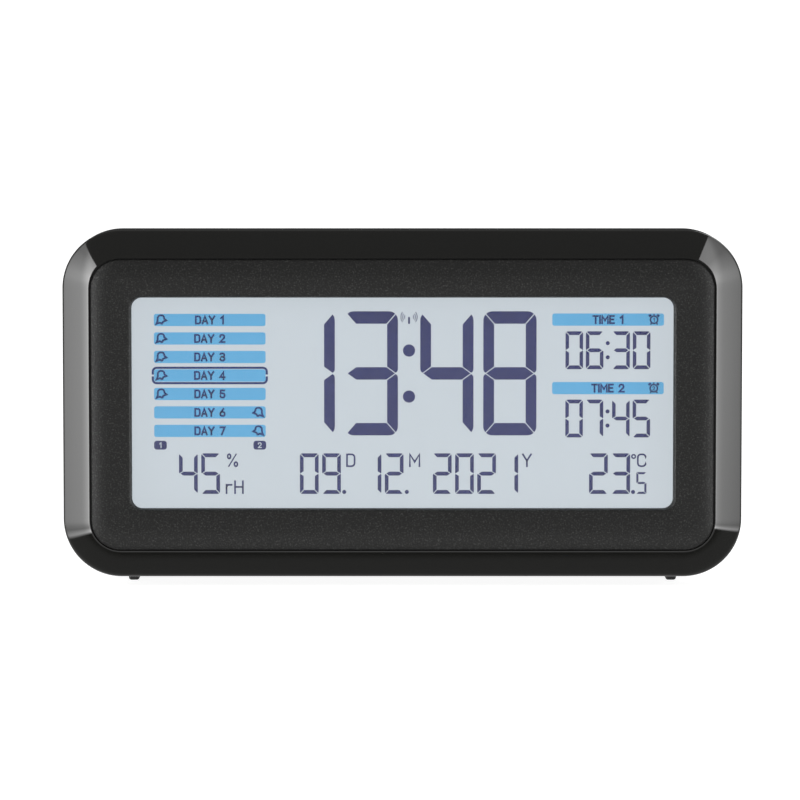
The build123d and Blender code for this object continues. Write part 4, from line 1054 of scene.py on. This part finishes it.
# Floor, light and camera
# A pale sweep under and behind the clock, a tall softbox at each side that is brighter towards the front, a
# soft light behind, and a dim room whose ground shines in front of the clock and behind it.

surface = {"Roughness": 0.9, "Emission_Color": linear("ffffff"), "Emission_Strength": 0.92}
floor_white, tree = new_finish("pale_floor_paper", "9a9a9a", **surface)
floor_half = 4.0
floor_back = 2.5
sweep_radius = 0.8
wall_height = 3.0
bend = arc((floor_back - sweep_radius, sweep_radius), sweep_radius, -90, 0, 16)
profile = [(-floor_half, 0.0), *bend, (floor_back, wall_height)]
sweep_points = [(side * floor_half, y, z) for y, z in profile for side in (-1, 1)]
sweep_faces = [(2 * i, 2 * i + 1, 2 * i + 3, 2 * i + 2) for i in range(len(profile) - 1)]
sweep_mesh = new_mesh("floor_sweep", sweep_points, [], sweep_faces)
sweep_mesh.materials.append(floor_white)
floor = new_object("floor_sweep", sweep_mesh)
floor.visible_glossy = False

light_middle = Vector((0, 0, middle_z))
light_distance = 1.3
# Level at which the softboxes' front edges begin to lean, and the levels that their charts run between
knee_level = 0.5
chart_low = -0.75
chart_high = 2.25
# Shares of the width between which the extra glow fades out
extra_fade = (0.46, 0.165)


def softbox(name, azimuths, elevations, lean, glow, shine):
    """A glowing sheet beside the clock. Azimuth 0 is in front of it and 90 to its right. The elevations are
    of its lower edge and of the front and rear end of its upper edge. Above a knee, its front edge leans
    forward by a share of the width. The glow is of its front edge and its rear edge, with an extra near the
    front, times a shine that changes with the height."""
    front, rear = [radians(a) for a in azimuths]
    low, high_front, high_rear = [tan(radians(e)) for e in elevations]
    mean = (front + rear) / 2
    facing = Vector((sin(mean), -cos(mean), 0))
    along = Vector((cos(mean), sin(mean), 0)) * tan((rear - front) / 2)
    corners = [(0, low), (1, low), (1, high_rear), (-lean, high_front), (0, knee_level)]
    places = []
    for across, level in corners:
        reach = facing + along * (2 * across - 1) + Vector((0, 0, level))
        places.append(light_middle + light_distance * reach)
    mesh = new_mesh(name, places, [], [(0, 1, 2, 3, 4)])
    chart = mesh.uv_layers.new(name="chart")
    for corner, (across, level) in zip(chart.data, corners):
        corner.uv = (across, (level - chart_low) / (chart_high - chart_low))
    material = bpy.data.materials.new(name)
    tree = clear_tree(material)
    even = add_way(tree, "X", 0.0, 1.0, "UV", glow[0], glow[1])
    extra = add_way(tree, "X", *extra_fade, "UV", 0.0, glow[2], interpolation_type="SMOOTHSTEP")
    total = add_node(tree, "Math", {0: even, 1: extra}, operation="ADD")
    ramp = add_node(tree, "ValToRGB", {"Fac": add_way(tree, "Y", 0.0, 1.0, "UV")}, shine)
    strength = add_node(tree, "Math", {0: total, 1: ramp}, operation="MULTIPLY")
    glowing = add_node(tree, "Emission", {"Strength": strength})
    add_node(tree, "OutputMaterial", {"Surface": glowing})
    mesh.materials.append(material)
    made = new_object(name, mesh)
    made.visible_camera = False


# Shine from low to high, by the place on the chart: the lower end of each softbox, and the upper end of both
left_shine = [(0.085, 0.04), (0.096, 0.3), (0.11, 0.73), (0.121, 0.62), (0.145, 0.32), (0.17, 0.43)]
left_shine += [(0.192, 0.56)]
right_shine = [(0.133, 0.04), (0.14, 0.5), (0.149, 0.95), (0.161, 0.6), (0.174, 0.4), (0.19, 0.48)]
right_shine += [(0.21, 0.55)]
upper_shine = [(0.23, 0.62), (0.279, 0.66), (0.309, 0.74), (0.346, 0.73), (0.398, 0.58), (0.51, 0.36)]
upper_shine += [(0.83, 0.3)]
left_glow = (9.36, 5.29, 5.97)
right_glow = (8.32, 3.78, 3.1)
softbox("left_softbox", (-60, -87.2), (-26.3, 35.7, 50), 0.08, left_glow, left_shine + upper_shine)
softbox("right_softbox", (60, 87.2), (-19.3, 54, 60.7), 0.63, right_glow, right_shine + upper_shine)

lamp = bpy.data.lights.new("rear_softbox", "AREA")
lamp.shape = "SQUARE"
lamp.size = 0.9
lamp.energy = 8.0
rear_softbox = new_object("rear_softbox", lamp)
rear_softbox.location = (0.9, 0.9, 1.1)
rear_softbox.rotation_euler = (rear_softbox.location - light_middle).to_track_quat("Z", "Y").to_euler()
rear_softbox.visible_camera = False

world = bpy.data.worlds.new("studio_room")
tree = clear_tree(world)
# Shine from far in front to far behind: of the walls, and of the ground, dark in the clock's own shade
wall_shine = [(0.4, 0.3), (0.57, 0.42), (0.85, 0.42), (0.93, 0.2), (1.0, 0.04)]
ground_shine = [(0.25, 1.2), (0.3, 0.5), (0.33, 0.06), (0.35, 0.2), (0.37, 0.32), (0.46, 0.32)]
ground_shine += [(0.485, 0.6), (0.52, 0.95)]
# Levels between which the walls pass into the ground
horizon = (-0.04, -0.2)
reach = add_way(tree, "Y", -1.0, 1.0, "Generated")
walls = add_node(tree, "ValToRGB", {"Fac": reach}, wall_shine)
ground = add_node(tree, "ValToRGB", {"Fac": reach}, ground_shine)
inputs = {"A": walls, "B": ground, "Factor": add_way(tree, "Z", *horizon, "Generated")}
glow = add_node(tree, "Mix", inputs, data_type="FLOAT")
room = add_node(tree, "Background", {"Strength": glow})
add_node(tree, "OutputWorld", {"Surface": room})
bpy.context.scene.world = world
bpy.context.scene.view_settings.view_transform = "Standard"

camera_rise = radians(4.35)
camera_distance = 1.0
frame_span = 175.72 * mm
aim = Vector((-0.55 * mm, face_y, middle_z + 1.2 * mm))
lens = bpy.data.cameras.new("front_camera")
lens.sensor_width = 36.0
lens.lens = lens.sensor_width * camera_distance / frame_span
camera = new_object("front_camera", lens)
back = Vector((0, -cos(camera_rise), sin(camera_rise)))
camera.location = aim + back * camera_distance
camera.rotation_mode = "QUATERNION"
camera.rotation_quaternion = back.to_track_quat("Z", "Y")
bpy.context.scene.camera = camera
